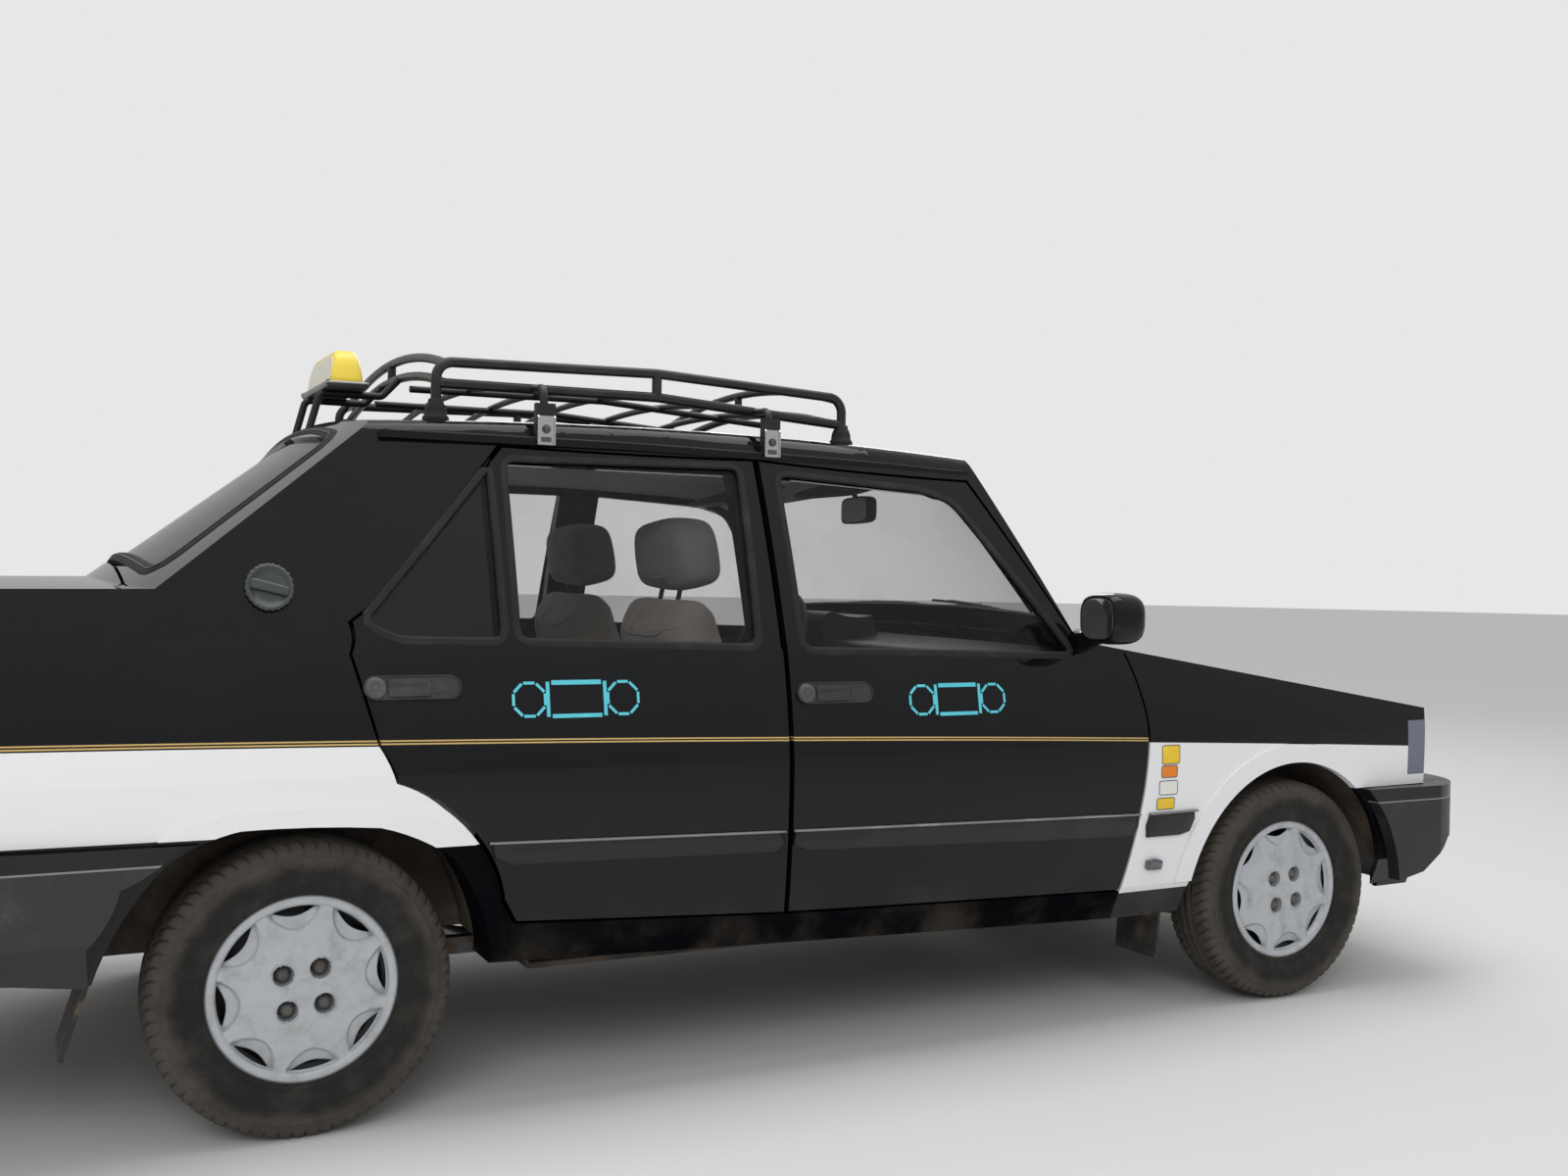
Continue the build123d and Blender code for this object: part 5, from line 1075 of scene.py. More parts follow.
def mirrorShell():
    s = mirrorShape
    points, faces = pebble(s["centre"], s["half"], (0.62, 0.62), 28, 48)
    points[:, 0] = np.maximum(points[:, 0], s["face"])
    foot = tubeAlong([(0.715, -0.775, 0.945), (0.712, -0.815, 0.953), (0.710, -0.852, 0.968), (0.710, -0.880, 0.985)],
                     [0.030, 0.024, 0.021, 0.020], 20)
    collar = tubeAlong([(0.713, -0.836, 0.962), (0.712, -0.846, 0.967)], 0.0255, 24)
    return joined([(points, faces), foot, collar])


def mirrorFace():
    # a rounded pane set just behind the shell's open edge
    s = mirrorShape
    turn = np.linspace(0, 2 * pi, 48, endpoint=False)
    bent = lambda w: np.sign(w) * np.abs(w) ** 0.62
    rows = []
    for share, off in ((0.93, 0.004), (0.93, -0.0008), (0.90, -0.0012), (0.30, -0.0012)):
        reach = 0.86 * share
        rows.append(np.stack([np.full(48, s["face"] + off), s["centre"][1] + s["half"][1] * reach * bent(np.cos(turn)),
                              s["centre"][2] + s["half"][2] * reach * bent(np.sin(turn))], -1))
    return np.stack(rows).reshape(-1, 3), ringFaces(4, 48, False)


for piece in bothSides("mirrorShell", mirrorShell(), "shell", "door_front_{}"):
    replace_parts(piece, "mirror_right" if piece.name.endswith("Right") else "mirror_left")
bothSides("mirrorGlass", mirrorFace(), "mirror", "door_front_{}", smooth=False)
print("side trim made")


# More forms on the body: nose and tail faces, hood and roof as surfaces of (across, along, off)

def bowed(y, bow, half):
    radius = (half ** 2 + bow ** 2) / (2 * bow)
    return np.sqrt(radius ** 2 - np.asarray(y, float) ** 2) - radius + bow


def onNose(y, z, off):
    x = 1.900 - 0.0125 * (0.95 - z) + bowed(y, 0.060, 0.790) + off
    return np.stack([x, y + 0 * x, z + 0 * x], -1)


def onTail(y, z, off):
    x = -2.039 - 0.012 * (z - 0.15) - bowed(y, 0.040, 0.790) - off
    return np.stack([x, y + 0 * x, z + 0 * x], -1)


onHood = slopeSurface((frontAxle + 0.560, 0.742), (frontAxle - 0.564, 0.922), 0.022, 0.780)


def roofHeight(x, y):
    return 1.436 + bowed(y, 0.024, 0.580) - 0.024 - (x + 0.300) ** 2 / 22.0


def prismOf(profile, axis, low, high):
    # an outline of the two other axes, carried along one axis
    profile = np.array(profile, float)
    rings = [np.insert(profile, axis, level, axis=1) for level in (low, high)]
    return np.vstack(rings), ringFaces(2, len(profile), False)


def loftRect(rings, centre=(0, 0, 0), corner=7):
    # rounded rectangles stacked up: rows of (half x, half y, z, radius)
    turn = np.linspace(0, pi / 2, corner)
    out = []
    for hx, hy, z, radius in rings:
        ring = []
        for k, (sx, sy) in enumerate(((1, 1), (-1, 1), (-1, -1), (1, -1))):
            a = turn + k * pi / 2
            ring.append(np.stack([sx * (hx - radius) + radius * np.cos(a), sy * (hy - radius) + radius * np.sin(a),
                                  np.full(corner, z)], -1))
        out.append(np.vstack(ring))
    return np.stack(out).reshape(-1, 3) + np.array(centre), ringFaces(len(rings), 4 * corner, False)


def turnedUp(profile, centre, sides=40):
    # rows of (radius, z) turned about an upright axis
    points, faces = lathe([(r, z) for r, z in profile], (0, 0, 0), sides)
    return points[:, [0, 2, 1]] + np.array(centre), faces


# The rack's silver gutter clamps with their bolts, and rubber boots on its feet
rackTrim = {"clamps": (-0.578, -0.047), "feet": (-0.788, 0.184), "half": 0.530, "plate": (-0.6292, -0.6262),
            "width": 0.0195,
            "z": (1.358, 1.420)}


def clampPlates():
    s = rackTrim
    (y0, y1), (z0, z1), wide = s["plate"], s["z"], s["width"]
    plate = [(y0, z0), (y1 + 0.004, z0), (y1 + 0.004, z0 + 0.003), (y1, z0 + 0.004), (y1, z1), (y0, z1 - 0.001)]
    lip = [(y0 - 0.003, z0), (y0, z0), (y0, z1), (y0 - 0.003, z1 - 0.004)]
    parts = []
    for x in s["clamps"]:
        parts.append(prismOf(plate, 0, x - wide, x + wide))
        parts += [prismOf(lip, 0, x + dx, x + dx + 0.003) for dx in (-wide, wide - 0.003)]
    return joined(parts)


def clampBolts():
    face = rackTrim["plate"][0]
    washer = [(0.0005, 0.001), (0.0095, 0.001), (0.0095, -0.0015), (0.0005, -0.0015)]
    head = [(0.0005, 0.0), (0.0066, 0.0), (0.0066, -0.0052), (0.0052, -0.0062), (0.0005, -0.0062)]
    parts = []
    for x in rackTrim["clamps"]:
        parts += [lathe(washer, (x, face, 1.391), 28), lathe(head, (x, face, 1.391), 6, 0.3),
                  prismOf(oblong(face - 0.0008, face, 1.364, 1.3745), 0, x - 0.011, x + 0.011)]
    return joined(parts)


def footBoots():
    half = rackTrim["half"]
    profile = [(0.002, -0.014), (0.0275, -0.014), (0.0280, 0.008), (0.0262, 0.0125), (0.0235, 0.015), (0.0225, 0.026),
               (0.0195, 0.036), (0.0165, 0.040), (0.0160, 0.0475), (0.0120, 0.0500), (0.002, 0.0500)]
    return joined([turnedUp(profile, (x, -half, float(roofHeight(x, half)) - 0.004)) for x in rackTrim["feet"]])


bothSides("rackClamp", clampPlates(), "bright", smooth=False)
bothSides("rackBolt", clampBolts(), "bolt", smooth=False)
bothSides("rackBoot", footBoots(), "gasket", "body", "flap_rubber")


# The roof sign: a yellow case with cream faces front and rear, both blank, on a silver-grey tray
sign = {"x": -0.899, "z": 1.5030, "tray": 0.0143}


signRings = {
    "Case": [(0.0350, 0.1590, 0.0004, 0.010), (0.0360, 0.1600, 0.002, 0.011), (0.0352, 0.1580, 0.012, 0.011),
             (0.0320, 0.1520, 0.034, 0.012), (0.0285, 0.1455, 0.054, 0.013), (0.0262, 0.1380, 0.0640, 0.014),
             (0.0235, 0.1290, 0.0705, 0.014), (0.0195, 0.1210, 0.0742, 0.013), (0.0130, 0.1130, 0.0757, 0.009),
             (0.0060, 0.1050, 0.0760, 0.004)],
    "Tray": [(0.0440, 0.1700, 0.0, 0.012), (0.0470, 0.1730, 0.0008, 0.014), (0.0480, 0.1740, 0.0060, 0.015),
             (0.0500, 0.1760, 0.0070, 0.016), (0.0500, 0.1760, 0.0115, 0.016), (0.0480, 0.1740, 0.0128, 0.015),
             (0.0395, 0.1635, 0.0138, 0.012), (0.0380, 0.1620, 0.0142, 0.012)],
}


def signFace(end):
    s = sign
    base = s["z"] + s["tray"]

    def surface(y, z, off):
        lean = np.interp(z - base, [0.002, 0.034, 0.054, 0.064], [0.0362, 0.0322, 0.0287, 0.0266])
        return np.stack([s["x"] + end * (lean + off), y + 0 * lean, z + 0 * lean], -1)

    half = [(0.150, base + 0.006), (0.140, base + 0.048), (0.118, base + 0.062)]
    corners = [(-0.150, base + 0.006), *half, *[(-y, z) for y, z in half[:0:-1]]]
    return patchOn(corners, -0.002, 0.0012, 0.010, 0.006, 0.0004, surface)


case = loftRect(signRings["Case"], (sign["x"], 0, sign["z"] + sign["tray"]))
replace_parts(newPiece("signCase", case, "signYellow"), "taxi_sign")
newPiece("signTray", loftRect(signRings["Tray"], (sign["x"], 0, sign["z"])), "trayGrey")
for name, end in (("signFaceFront", 1), ("signFaceRear", -1)):
    newPiece(name, signFace(end), "signCream", smooth=False)
screw = [(0.0005, -0.001), (0.0045, -0.001), (0.0045, 0.0022), (0.0030, 0.0032), (0.0005, 0.0032)]
screws = [turnedUp(screw, (sign["x"] + dx, dy, sign["z"] + 0.0125), 20) for dx in (-0.044, 0.044) for dy in (-0.165,
                                                                                                             0.165)]
newPiece("signScrews", joined(screws), "bolt")


# Wipers at rest along the foot of the windscreen, their tips to the right
wipers = {"pivots": (0.600, 0.045), "reach": 0.46, "arm": 0.30}


def wiperParts(u):
    w = wipers
    arm = [(u, 0.004), (u - 0.04, 0.016), (u - 0.16, 0.026), (u - w["arm"] + 0.02, 0.0375)]
    arm = spaced(rounded(arm, 0.04, closed=False), 0.02, False)
    blade = np.linspace((u - 0.04, 0.047), (u - 0.04 - w["reach"], 0.034), 24)
    metal = [stripOn(onScreen, arm, ridge(0.0065, 0.012, 0.0055, 0.0185), False),
             stripOn(onScreen, blade[4:-4], ridge(0.0036, 0.0085, 0.0028, 0.0130), False),
             pebble(spot(onScreen, u, 0.002, 0.004), (0.014, 0.014, 0.014), (0.7, 0.9), 10, 24)]
    lip = [(-0.0022, 0.0055), (-0.0022, 0.0085), (0.0022, 0.0085), (0.0022, 0.0055), (0.0008, 0.0006),
           (-0.0008, 0.0006)]
    return metal, [stripOn(onScreen, blade, lip, False)]


metal, wiped = [sum(parts, []) for parts in zip(*[wiperParts(u) for u in wipers["pivots"]])]
newPiece("wiperArms", joined(metal), "handle", smooth=False)
newPiece("wiperBlades", joined(wiped), "gasket", smooth=False)


# Washer jets and the cowl's air louvres
jets = [pebble(spot(onHood, y, 1.040, 0.001), (0.012, 0.009, 0.006), (0.8, 0.8), 8, 20) for y in (-0.22, 0.22)]
newPiece("washerJets", joined(jets), "trim", "hood")


def louvres():
    # slats across the cowl in three banks
    parts = []
    for y0, y1 in ((-0.40, -0.16), (-0.12, 0.12), (0.16, 0.40)):
        for v in np.linspace(1.176, 1.212, 5):
            slat = [(-0.0030, -0.001), (-0.0030, 0.0010), (0.0012, 0.0034), (0.0030, -0.001)]
            parts.append(stripOn(onHood, np.linspace((y0, v), (y1, v), 10), slat, False))
    return joined(parts)


newPiece("cowlLouvres", louvres(), "trim", smooth=False)


# Lamps: a fluted glass over each headlamp, seals round the lamps, ribs on the tail lamps
lampShape = {"y": (0.419, 0.686), "z": (0.579, 0.718), "tail": (0.484, 0.782), "tailZ": (0.694, 0.856)}


def headGlass():
    (y0, y1), (z0, z1) = lampShape["y"], lampShape["z"]
    parts = [patchOn(oblong(-y0, -y1, z0, z1), -0.001, 0.0052, 0.010, 0.010, 0.001, onNose)]
    flutes = 15
    for k in range(flutes):
        y = -(y0 + 0.012 + (y1 - y0 - 0.024) * k / (flutes - 1))
        path = np.array([(y, z0 + 0.010), (y, (z0 + z1) / 2), (y, z1 - 0.010)])
        parts.append(stripOn(onNose, path, [(-0.0036, 0.0046), (0, 0.0068), (0.0036, 0.0046)], False))
    return joined(parts)


def lampSeal():
    (y0, y1), (z0, z1), gap = lampShape["y"], lampShape["z"], 0.0005
    corners = oblong(-y0 + gap, -y1 - gap, z0 - gap, z1 + gap)
    section = [(-0.0034, -0.002), (-0.0034, 0.0042), (-0.0010, 0.0060), (0.0028, 0.0040), (0.0028, -0.002)]
    return stripOn(onNose, spaced(rounded(corners, 0.010), 0.010), section)


def bulbCap():
    # the dark cap in front of the bulb, seen through the glass
    face = spot(onNose, -(sum(lampShape["y"])) / 2, sum(lampShape["z"]) / 2, 0.0)
    return pebble(face, (0.0035, 0.013, 0.013), (1.0, 1.0), 12, 28)


bothSides("headGlass", headGlass(), "clearGlass", smooth=False)
bothSides("headSeal", lampSeal(), "gasket", smooth=False)
bothSides("bulbCap", bulbCap(), "rim")


def tailRibs():
    (y0, y1), (z0, z1) = lampShape["tail"], lampShape["tailZ"]
    return joined([stripOn(onTail, np.linspace((-y0 - 0.003, z), (-y1 + 0.012, z), 12),
                           [(-0.0034, 0.0002), (0, 0.0026), (0.0034, 0.0002)], False)
                   for z in np.linspace(z0 + 0.009, z1 - 0.009, 15)])


def tailDividers():
    (y0, y1), (z0, z1) = lampShape["tail"], lampShape["tailZ"]
    parts = [stripOn(onTail, np.array([(-y, z0 + 0.002), (-y, (z0 + z1) / 2), (-y, z1 - 0.002)]),
                     ridge(0.0022, -0.001, 0.0018, 0.0042), False) for y in (0.560, 0.662)]
    y0, y1, z0, z1 = y0 - 0.001, y1 - 0.004, z0 - 0.001, z1 + 0.001
    for a, b in (((-y0, z0), (-y1, z0)), ((-y0, z1), (-y1, z1)), ((-y0, z0), (-y0, z1))):
        parts.append(stripOn(onTail, np.linspace(a, b, 10), ridge(0.003, -0.001, 0.003, 0.0026), False))
    return joined(parts)


bothSides("tailRibs", tailRibs(), "tailRed", smooth=False)
bothSides("tailDivider", tailDividers(), "trim", smooth=False)


# A lock on the boot lid, and a drip rail along each gutter
lockRows = [(0.016, -0.001), (0.016, 0.0050), (0.0145, 0.0068), (0.0090, 0.0068), (0.0082, 0.0055), (0.0072, 0.0055),
            (0.0066, 0.0066), (0.002, 0.0068)]
newPiece("bootLock", discOn(onTail, (0, 0.905), [(*row, 0) for row in lockRows], 36), "lock", "boot_lid")


def dripRail():
    path = np.array([(-0.915, 1.3722), (-0.381, 1.3722), (0.147, 1.3622), (0.470, 1.3490)])
    path = spaced(rounded(path, 0.10, closed=False), 0.03, False)
    x, z = path.T
    # the gutter's outer edge stands at a fixed distance from the middle
    return tubeAlong(np.stack([x, np.full(len(x), -0.6212), z], -1), 0.0019, 8)


bothSides("dripRail", dripRail(), "trim")


# The radiator's dark fins, behind the grille
fins = [prismOf(oblong(1.8095, 1.8125, z, z + 0.0022), 1, -0.286, 0.286) for z in np.arange(0.400, 0.680, 0.0085)]
newPiece("radiatorFins", joined(fins), "steel", slot="cast_metal", smooth=False)
print("lamps, sign and rack trim made")


# The exhaust's open end: a folded lip round a near-black disc just inside it, painted shade standing in for the bore's
# depth
pipe = {"x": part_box("exhaust")[0][0], "y": -0.345, "z": 0.322, "radius": 0.0225}
lipPath = [(pipe["x"] + dx, pipe["y"], pipe["z"]) for dx in (0.012, 0.003, -0.002)]
newPiece("exhaustLip", tubeAlong(lipPath, [pipe["radius"], pipe["radius"] + 0.0008, pipe["radius"] - 0.0008], 32),
         "steel")
# the disc of painted shade, just inside the pipe's end
boreShadePath = [(pipe["x"] + dx, pipe["y"], pipe["z"]) for dx in (-0.0022, -0.0030)]
newPiece("exhaustBoreShade", tubeAlong(boreShadePath, pipe["radius"] - 0.004, 32), "bore")


# Seats: pads shaped as closed forms, puffed by a cloth simulation, with welts laid on them afterwards

def ease01(value):
    t = np.clip(value, 0, 1)
    return t * t * (3 - 2 * t)


def padForm(profile, half, edge, gap=0.020, columns=28):
    # a side profile (x, z) carried across, its ends rolled in by a round edge
    loop = spaced(rounded(profile, 0.035, 6), gap)
    side = across2d(loop, True)
    area = np.sum(loop[:, 0] * np.roll(loop[:, 1], -1) - np.roll(loop[:, 0], -1) * loop[:, 1])
    inward = side * (1 if area > 0 else -1)
    spread = np.sin(np.linspace(-pi / 2, pi / 2, columns))
    rings = []
    for v in spread:
        near = np.clip((abs(v) * half - (half - edge)) / edge, 0, 1)
        ring = loop + inward * edge * (1 - np.sqrt(1 - near ** 2 * 0.995))
        rings.append(np.stack([ring[:, 0], np.full(len(ring), v * half), ring[:, 1]], -1))
    return np.stack(rings).reshape(-1, 3), ringFaces(columns, len(loop), False)


seat = {"y": 0.345, "cushionHalf": 0.238, "backHalf": 0.236, "restHalf": (0.060, 0.166, 0.080),
        "restAt": (-0.160, 1.138),
        "cap": 0.022, "benchHalf": 0.622, "pressure": 4.0, "frames": 20}
padRows = {
    "cushion": [(-0.105, 0.462), (0.425, 0.482), (0.440, 0.510), (0.438, 0.545), (0.410, 0.560), (0.300, 0.560),
                (0.040, 0.532), (-0.060, 0.528), (-0.110, 0.510)],
    "back": [(-0.012, 0.545), (-0.030, 0.640), (-0.082, 0.820), (-0.132, 0.965), (-0.152, 1.044), (-0.184, 1.054),
             (-0.220, 1.044), (-0.231, 0.985), (-0.196, 0.800), (-0.158, 0.640), (-0.130, 0.520), (-0.100, 0.480),
             (-0.045, 0.490)],
    "benchCushion": [(-0.800, 0.450), (-0.388, 0.446), (-0.370, 0.475), (-0.368, 0.530), (-0.385, 0.560),
                     (-0.430, 0.568), (-0.600, 0.556), (-0.750, 0.540), (-0.800, 0.522)],
    "benchBack": [(-0.790, 0.560), (-0.815, 0.630), (-0.878, 0.780), (-0.938, 0.900), (-0.962, 0.924), (-0.990, 0.925),
                  (-1.000, 0.905), (-0.975, 0.815), (-0.922, 0.640), (-0.872, 0.490), (-0.835, 0.485)],
}


def seatPads():
    pads = {}
    points, faces = padForm(padRows["cushion"], seat["cushionHalf"], 0.045)
    points[:, 2] += 0.014 * (np.abs(points[:, 1]) / seat["cushionHalf"]) ** 3 * ease01((points[:, 2] - 0.50) / 0.03)
    pads["seatCushion"] = (points, faces, 0.0125, "cloth")
    points, faces = padForm(padRows["back"], seat["backHalf"], 0.045)
    points[:, 1] *= 1 - 0.12 * ease01((points[:, 2] - 0.70) / 0.34)
    points[:, 2] -= 0.014 * (np.abs(points[:, 1]) / 0.20) ** 4 * ease01((points[:, 2] - 0.90) / 0.12)
    ahead = points[:, 0] + 0.12 + (points[:, 2] - 0.6) * 0.28
    points[:, 0] += 0.012 * (np.abs(points[:, 1]) / 0.22) ** 3 * ease01(ahead / 0.03)
    pads["seatBack"] = (points, faces, 0.0125, "cloth")
    x, z = seat["restAt"]
    points, faces = pebble((0, 0, 0), seat["restHalf"], (0.42, 0.50), 22, 40)
    points[:, 1] *= 1 - 0.10 * ease01(points[:, 2] / 0.08)
    lean = radians(-9)
    points[:, 0], points[:, 2] = (points[:, 0] * cos(lean) + points[:, 2] * sin(lean) + x,
                                  points[:, 2] * cos(lean) - points[:, 0] * sin(lean) + z)
    pads["seatRest"] = (points, faces, 0.009, "clothSide")
    points, faces = padForm(padRows["benchCushion"], seat["benchHalf"], 0.045, 0.022, 44)
    points[:, 1] *= 1 - 0.165 * ease01((-0.655 - points[:, 0]) / 0.05)
    pads["benchCushion"] = (points, faces, 0.018, "cloth")
    points, faces = padForm(padRows["benchBack"], seat["benchHalf"], 0.040, 0.022, 44)
    points[:, 1] *= 1 - 0.165 * ease01((0.690 - points[:, 2]) / 0.05)
    pads["benchBack"] = (points, faces, 0.018, "cloth")
    return pads


def meshOf(piece):
    # the piece as it looks with its modifiers, as a plain mesh
    graph = bpy.context.evaluated_depsgraph_get()
    return bpy.data.meshes.new_from_object(piece.evaluated_get(graph), depsgraph=graph)


def placesOf(mesh):
    flat = np.empty(len(mesh.vertices) * 3)
    mesh.vertices.foreach_get("co", flat)
    return flat.reshape(-1, 3)


def puffPads(pads):
    # every pad is remeshed, then all swell together under pressure for the same frames
    made = {}
    for name, (points, faces, voxel, finish) in pads.items():
        piece = newPiece(name, (points, faces), finish)
        remesh = piece.modifiers.new("voxels", "REMESH")
        remesh.mode, remesh.voxel_size = "VOXEL", voxel
        fine = meshOf(piece)
        piece.modifiers.clear()
        piece.data = fine
        fine.polygons.foreach_set("use_smooth", [True] * len(fine.polygons))
        made[name] = piece
    for piece in made.values():
        cloth = piece.modifiers.new("puff", "CLOTH")
        cloth.settings.quality, cloth.settings.mass = 5, 0.3
        cloth.settings.use_pressure = True
        cloth.settings.uniform_pressure_force = seat["pressure"]
        cloth.settings.effector_weights.gravity = 0
        cloth.settings.tension_stiffness = cloth.settings.compression_stiffness = 80
    for step in range(1, seat["frames"] + 1):
        bpy.context.scene.frame_set(step)
    for piece in made.values():
        before = placesOf(piece.data)
        moved = placesOf(meshOf(piece)) - before
        size = np.linalg.norm(moved, axis=1)[:, None]
        after = before + moved * np.minimum(1, seat["cap"] / np.maximum(size, 1e-9))
        piece.modifiers.clear()
        piece.data.vertices.foreach_set("co", after.ravel())
        piece.data.update()
        print("puffed", piece.name, "by up to", round(float(size.max()) * 1000, 1), "mm")
    bpy.context.scene.frame_set(1)
    return made


def laidOn(tree, starts, toward):
    # points where lines from starts along one direction first meet a pad
    out = []
    for start in starts:
        place = tree.ray_cast(Vector(start), Vector(toward))[0]
        if place is not None:
            out.append(np.array(place))
    return np.array(out)


def weltsOn(piece, lines, radius=0.0026):
    # a sewn welt along each line: (start, end, direction it is pressed along)
    graph = bpy.context.evaluated_depsgraph_get()
    tree = BVHTree.FromObject(piece.evaluated_get(graph), graph)
    parts = []
    for path, toward in lines:
        path = spaced(np.array(path, float), 0.016, False)
        toward = np.array(toward, float) / np.linalg.norm(toward)
        hits = laidOn(tree, path - toward * 0.30, toward)
        if len(hits) > 3:
            smooth = hits.copy()
            smooth[1:-1] = (hits[:-2] + hits[1:-1] * 2 + hits[2:]) / 4
            parts.append(tubeAlong(smooth, radius, 8))
    return joined(parts)


pads = puffPads(seatPads())
welts = {
    "seatCushion": [([(-0.05, y, 0.6), (0.40, y * 0.96, 0.6)], (0, 0, -1)) for y in (-0.140, 0.140)]
                   + [([(x, -0.138, 0.6), (x, 0.138, 0.6)], (0, 0, -1)) for x in (0.06, 0.16, 0.26, 0.36)],
    "seatBack": [([(0.1, y, 0.58), (0.1, y * 0.9, 0.985)], (-1, 0, 0)) for y in (-0.130, 0.130)]
                + [([(0.1, -0.125, z), (0.1, 0.125, z)], (-1, 0, 0)) for z in (0.64, 0.74, 0.84, 0.94)]
                + [([(-0.5, y * 1.10, 0.52), (-0.5, y, 0.75), (-0.5, y * 0.78, 0.975)], (1, 0, 0)) for y in (-0.150,
                                                                                                             0.150)]
                + [([(-0.5, -0.165, 0.968), (-0.5, -0.08, 0.945), (-0.5, 0.08, 0.945), (-0.5, 0.165, 0.968)],
                    (1, 0, 0))],
    "seatRest": [([(-0.5, -0.12, 1.090), (-0.5, 0, 1.078), (-0.5, 0.12, 1.090)], (1, 0, 0)),
                 ([(0.2, -0.095, 1.08), (0.2, -0.095, 1.19)], (-1, 0, 0)),
                 ([(0.2, 0.095, 1.08), (0.2, 0.095, 1.19)], (-1, 0, 0))],
    "benchCushion": [([(-0.72, y, 0.7), (-0.40, y, 0.7)], (0, 0, -1)) for y in (-0.42, -0.14, 0.14, 0.42)],
    "benchBack": [([(-0.6, y, 0.60), (-0.6, y, 0.90)], (-1, 0, 0)) for y in (-0.42, -0.14, 0.14, 0.42)],
}
shift = np.array([0.0, seat["y"], 0.0])
for name, piece in pads.items():
    smooth = piece.modifiers.new("smooth", "SUBSURF")
    smooth.levels = smooth.render_levels = 1
    points, faces = weltsOn(piece, welts[name])
    if name.startswith("bench"):
        newPiece(name + "Welts", (points, faces), "clothSide")
        continue
    # the pad is the right seat's own, and its copy the left's
    pair = [(piece, "Right", -1), (piece.copy(), "Left", 1)]
    for own, label, side in pair:
        if side > 0:
            own.data = piece.data.copy()
            bpy.context.scene.collection.objects.link(own)
        own.name = name + label
        newPiece(name + "Welts" + label, (points + shift * side, faces), "clothSide")
    for own, label, side in pair:
        own.data.vertices.foreach_set("co", (placesOf(own.data) + shift * side).ravel())
        own.data.update()
        if side > 0:
            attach(own, "body")
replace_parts(bpy.data.objects["seatCushionRight"], "front_seats")
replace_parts(bpy.data.objects["benchCushion"], "rear_seat")


# Under and on the seats: plinth, runners, head restraint stems and recliner knobs
def seatBase():
    y = -seat["y"]
    plinth = [(0.200, 0.180, 0.2735, 0.02), (0.200, 0.180, 0.290, 0.02), (0.185, 0.165, 0.320, 0.02),
              (0.190, 0.170, 0.440, 0.02), (0.210, 0.190, 0.468, 0.02)]
    runners = [prismOf(oblong(y + dy - 0.014, y + dy + 0.014, 0.2735, 0.296), 0, -0.07, 0.42) for dy in (-0.17, 0.17)]
    return joined([loftRect(plinth, (0.165, y, 0)), *runners])


def seatStems():
    y = -seat["y"]
    parts = [tubeAlong([(-0.184, y + dy, 1.000), (-0.174, y + dy, 1.035), (-0.164, y + dy, 1.085)], 0.0058, 12)
             for dy in (-0.055, 0.055)]
    knob = lathe([(0.001, 0.0), (0.030, 0.0), (0.030, 0.010), (0.026, 0.022), (0.001, 0.024)],
                 (-0.055, y - 0.262, 0.520), 24)
    return joined([*parts, knob])


bothSides("seatBase", seatBase(), "dash", smooth=False)
bothSides("seatStems", seatStems(), "dash")


# Linings: headlining, visors, inner mirror, door cards, carpet and the console
def headlining():
    x = np.linspace(-0.830, 0.425, 40)[:, None]
    y = np.linspace(-0.582, 0.582, 36)[None, :]
    z = roofHeight(x, y) - 0.031 - 0.055 * ease01((np.abs(y) - 0.47) / 0.115) ** 1.5 - 0.020 * ease01((x - 0.33) / 0.10)
    return np.stack([x + 0 * z, y + 0 * z, z], -1).reshape(-1, 3), quads(40, 36)


lining = newPiece("headlining", headlining(), "headlining")
wall = lining.modifiers.new("wall", "SOLIDIFY")
wall.thickness, wall.offset = 0.0025, 0


def swung(points, degrees, first, second, at=(0, 0, 0)):
    # points turned in the plane of two axes, then moved to a place
    turn = radians(degrees)
    out = points.copy()
    out[:, first] = points[:, first] * cos(turn) - points[:, second] * sin(turn)
    out[:, second] = points[:, first] * sin(turn) + points[:, second] * cos(turn)
    return out + np.array(at)


def visors():
    points, faces = pebble((0, 0, 0), (0.080, 0.178, 0.011), (0.45, 0.35), 12, 48)
    hinge = tubeAlong([(0.380, -0.16, 1.340), (0.380, -0.535, 1.340), (0.396, -0.550, 1.362)], 0.0045, 10)
    return joined([(swung(points, 17, 0, 2, (0.305, -0.345, 1.316)), faces), hinge])


bothSides("sunVisor", visors(), "dash")


mirrorAt = (0.530, 0, 1.275)


def innerMirror():
    points, faces = pebble((0, 0, 0), (0.030, 0.134, 0.037), (0.40, 0.45), 14, 44)
    points[:, 0] = np.maximum(points[:, 0], -0.008)
    stem = tubeAlong([(0.538, 0, 1.285), (0.520, 0, 1.325), (0.488, 0, 1.350), (0.470, 0, 1.366)],
                     [0.007, 0.008, 0.009, 0.020], 16)
    return joined([(swung(points, -14, 0, 1, mirrorAt), faces), stem])


def innerGlass():
    turn = np.linspace(0, 2 * pi, 40, endpoint=False)
    y, z = (half * np.sign(wave) * np.abs(wave) ** 0.45 for half,
            wave in ((0.128, np.cos(turn)), (0.032, np.sin(turn))))
    rings = [swung(np.stack([np.full(40, off), y, z], -1), -14, 0, 1, mirrorAt) for off in (-0.0076, -0.0088)]
    return np.vstack(rings), ringFaces(2, 40, False)


newPiece("innerMirror", innerMirror(), "dash")
# its glass is pale grey: a painted reflection
newPiece("innerMirrorGlass", innerGlass(), "mirrorPale", smooth=False)

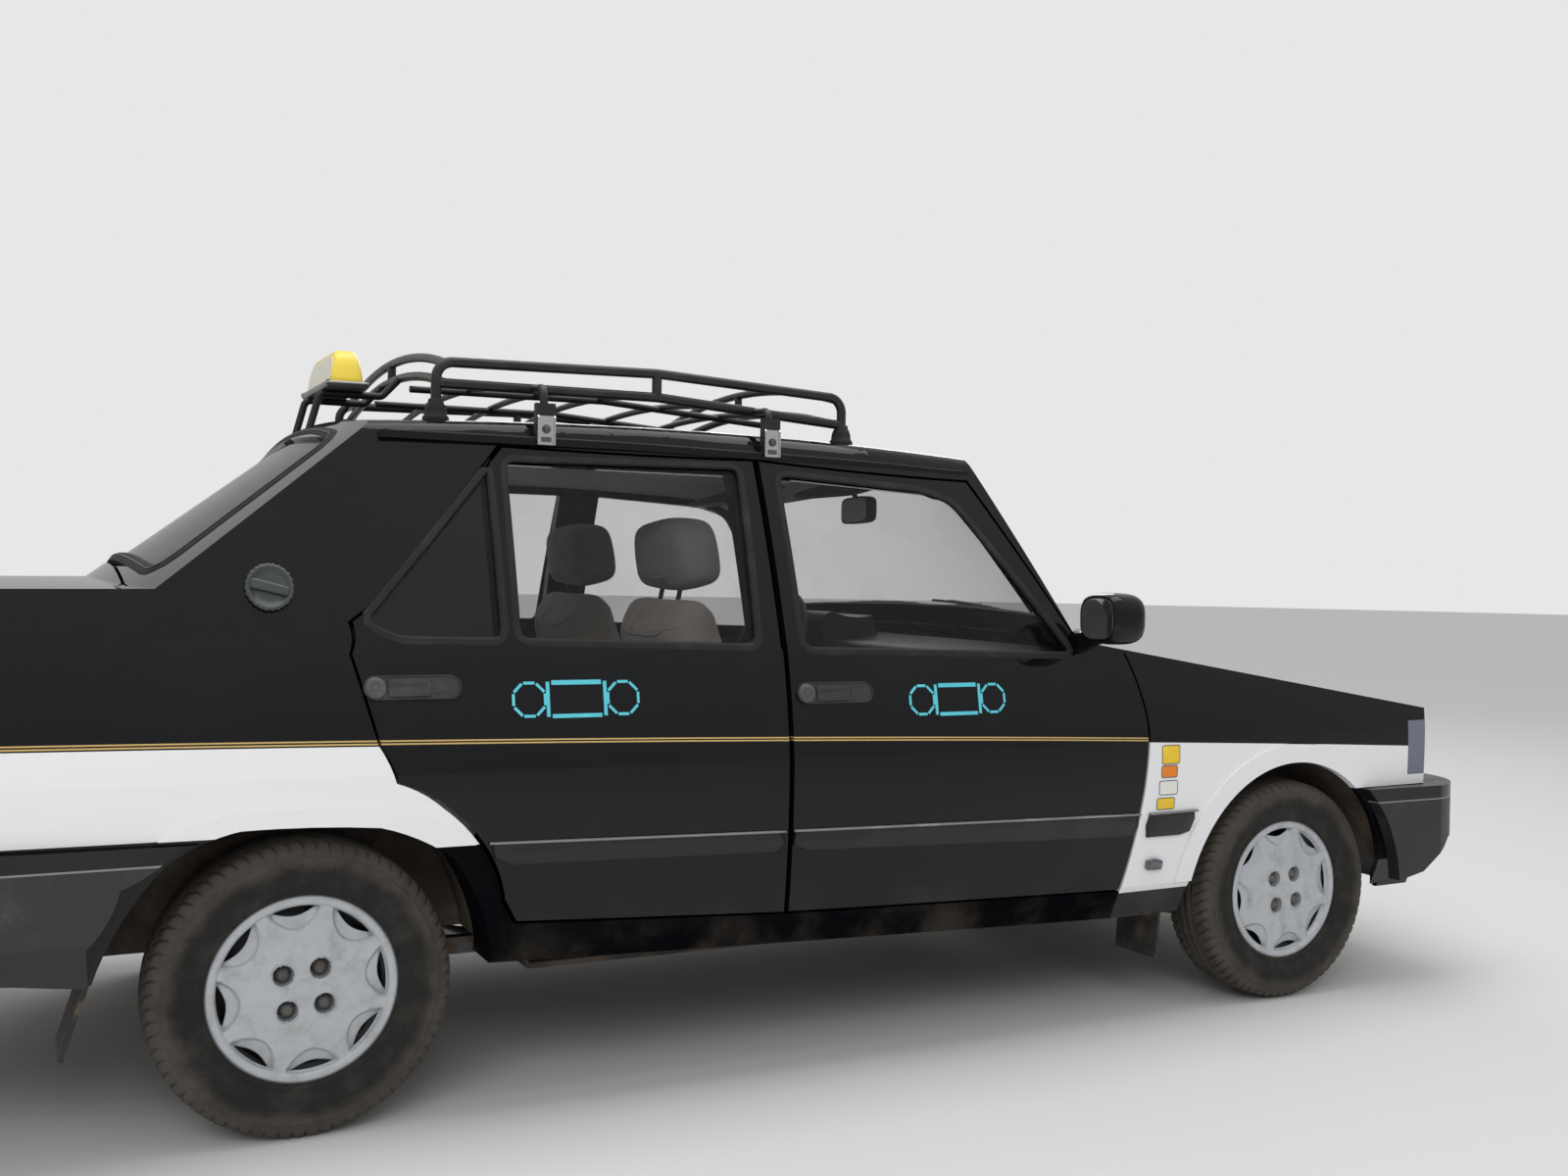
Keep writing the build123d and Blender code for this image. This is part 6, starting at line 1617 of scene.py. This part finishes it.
cards = {
    "front": [(-0.068, 0.385), (0.790, 0.362), (0.832, 0.530), (0.858, 0.700), (0.838, 0.880), (-0.068, 0.902)],
    "rear": [(-0.680, 0.905), (-0.672, 0.770), (-0.640, 0.690), (-0.560, 0.625), (-0.500, 0.440), (-0.106, 0.408),
             (-0.106, 0.905)],
}
inserts = {
    "front": [(-0.020, 0.610), (0.640, 0.610), (0.640, 0.860), (-0.020, 0.872)],
    "rear": [(-0.600, 0.700), (-0.140, 0.610), (-0.140, 0.872), (-0.600, 0.872)],
}
def doorFittings(x):
    # an armrest, a pull, and a winder with its hub, arm and knob
    at = lambda dx, z, off: spot(onSide, x + dx, z, off)
    a, b = at(-0.02, 0.560, -0.094), at(-0.115, 0.575, -0.098)
    return joined([pebble(at(0, 0.655, -0.094), (0.150, 0.024, 0.026), (0.4, 0.45), 12, 36),
                   pebble(at(0.18, 0.760, -0.082), (0.045, 0.008, 0.016), (0.5, 0.5), 10, 24),
                   pebble(at(-0.02, 0.560, -0.084), (0.020, 0.012, 0.020), (0.8, 0.9), 10, 24),
                   tubeAlong([a, (a + b) / 2, b], 0.006, 12),
                   pebble(b + [0, 0.010, 0], (0.012, 0.016, 0.012), (0.8, 0.9), 10, 20)])


for key, armX in (("front", 0.300), ("rear", -0.340)):
    title, body = key.title(), f"door_{key}_{{}}"
    bothSides("doorCard" + title, patchOn(cards[key], -0.0700, -0.0765, 0.02, 0.04, -0.001), "dash", body, smooth=False)
    bothSides("doorInsert" + title, patchOn(inserts[key], -0.0755, -0.0815, 0.02, 0.04, -0.0015), "clothSide", body,
              smooth=False)
    bothSides("doorFittings" + title, doorFittings(armX), "handle", body)

pillarInside = [(-0.700, 0.966), (-1.150, 0.966), (-1.175, 1.000), (-1.150, 1.085), (-1.090, 1.165), (-1.030, 1.230),
                (-0.950, 1.284), (-0.703, 1.286)]
bothSides("pillarLining", patchOn(pillarInside, -0.0608, -0.0660, 0.02, 0.03, -0.001), "dash", smooth=False)


tunnel = [(0.1085, 0.2730), (0.0935, 0.4125), (-0.0935, 0.4125), (-0.1085, 0.2730), (-0.1125, 0.2730),
          (-0.0965, 0.4165), (0.0965, 0.4165), (0.1125, 0.2730)]
mats = [prismOf(oblong(y0, y1, 0.2726, 0.2775), 0, -0.600, 0.745) for y0, y1 in ((-0.622, -0.108), (0.108, 0.622))]
newPiece("carpet", joined([*mats, prismOf(tunnel, 0, -0.640, 0.860)]), "carpet", smooth=False)


def console():
    # gear lever in its gaiter, and the handbrake between the seats
    gaiter = turnedUp([(0.001, 0.0), (0.062, 0.0), (0.058, 0.010), (0.050, 0.016), (0.046, 0.028), (0.034, 0.036),
                       (0.030, 0.050), (0.018, 0.062), (0.012, 0.085), (0.001, 0.086)], (0.420, 0, 0.4150), 32)
    lever = tubeAlong([(0.420, 0, 0.480), (0.412, 0, 0.560), (0.388, 0, 0.640)], 0.0065, 14)
    knob = pebble((0.384, 0, 0.658), (0.021, 0.021, 0.026), (0.9, 1.0), 14, 28)
    brake = tubeAlong([(0.160, 0, 0.425), (0.050, 0, 0.470), (-0.060, 0, 0.500)], [0.018, 0.015, 0.017], 16)
    button = tubeAlong([(-0.058, 0, 0.4995), (-0.072, 0, 0.5040)], 0.0070, 14)
    return joined([gaiter, lever, knob, brake, button])


newPiece("console", console(), "dash")
print("cabin made")
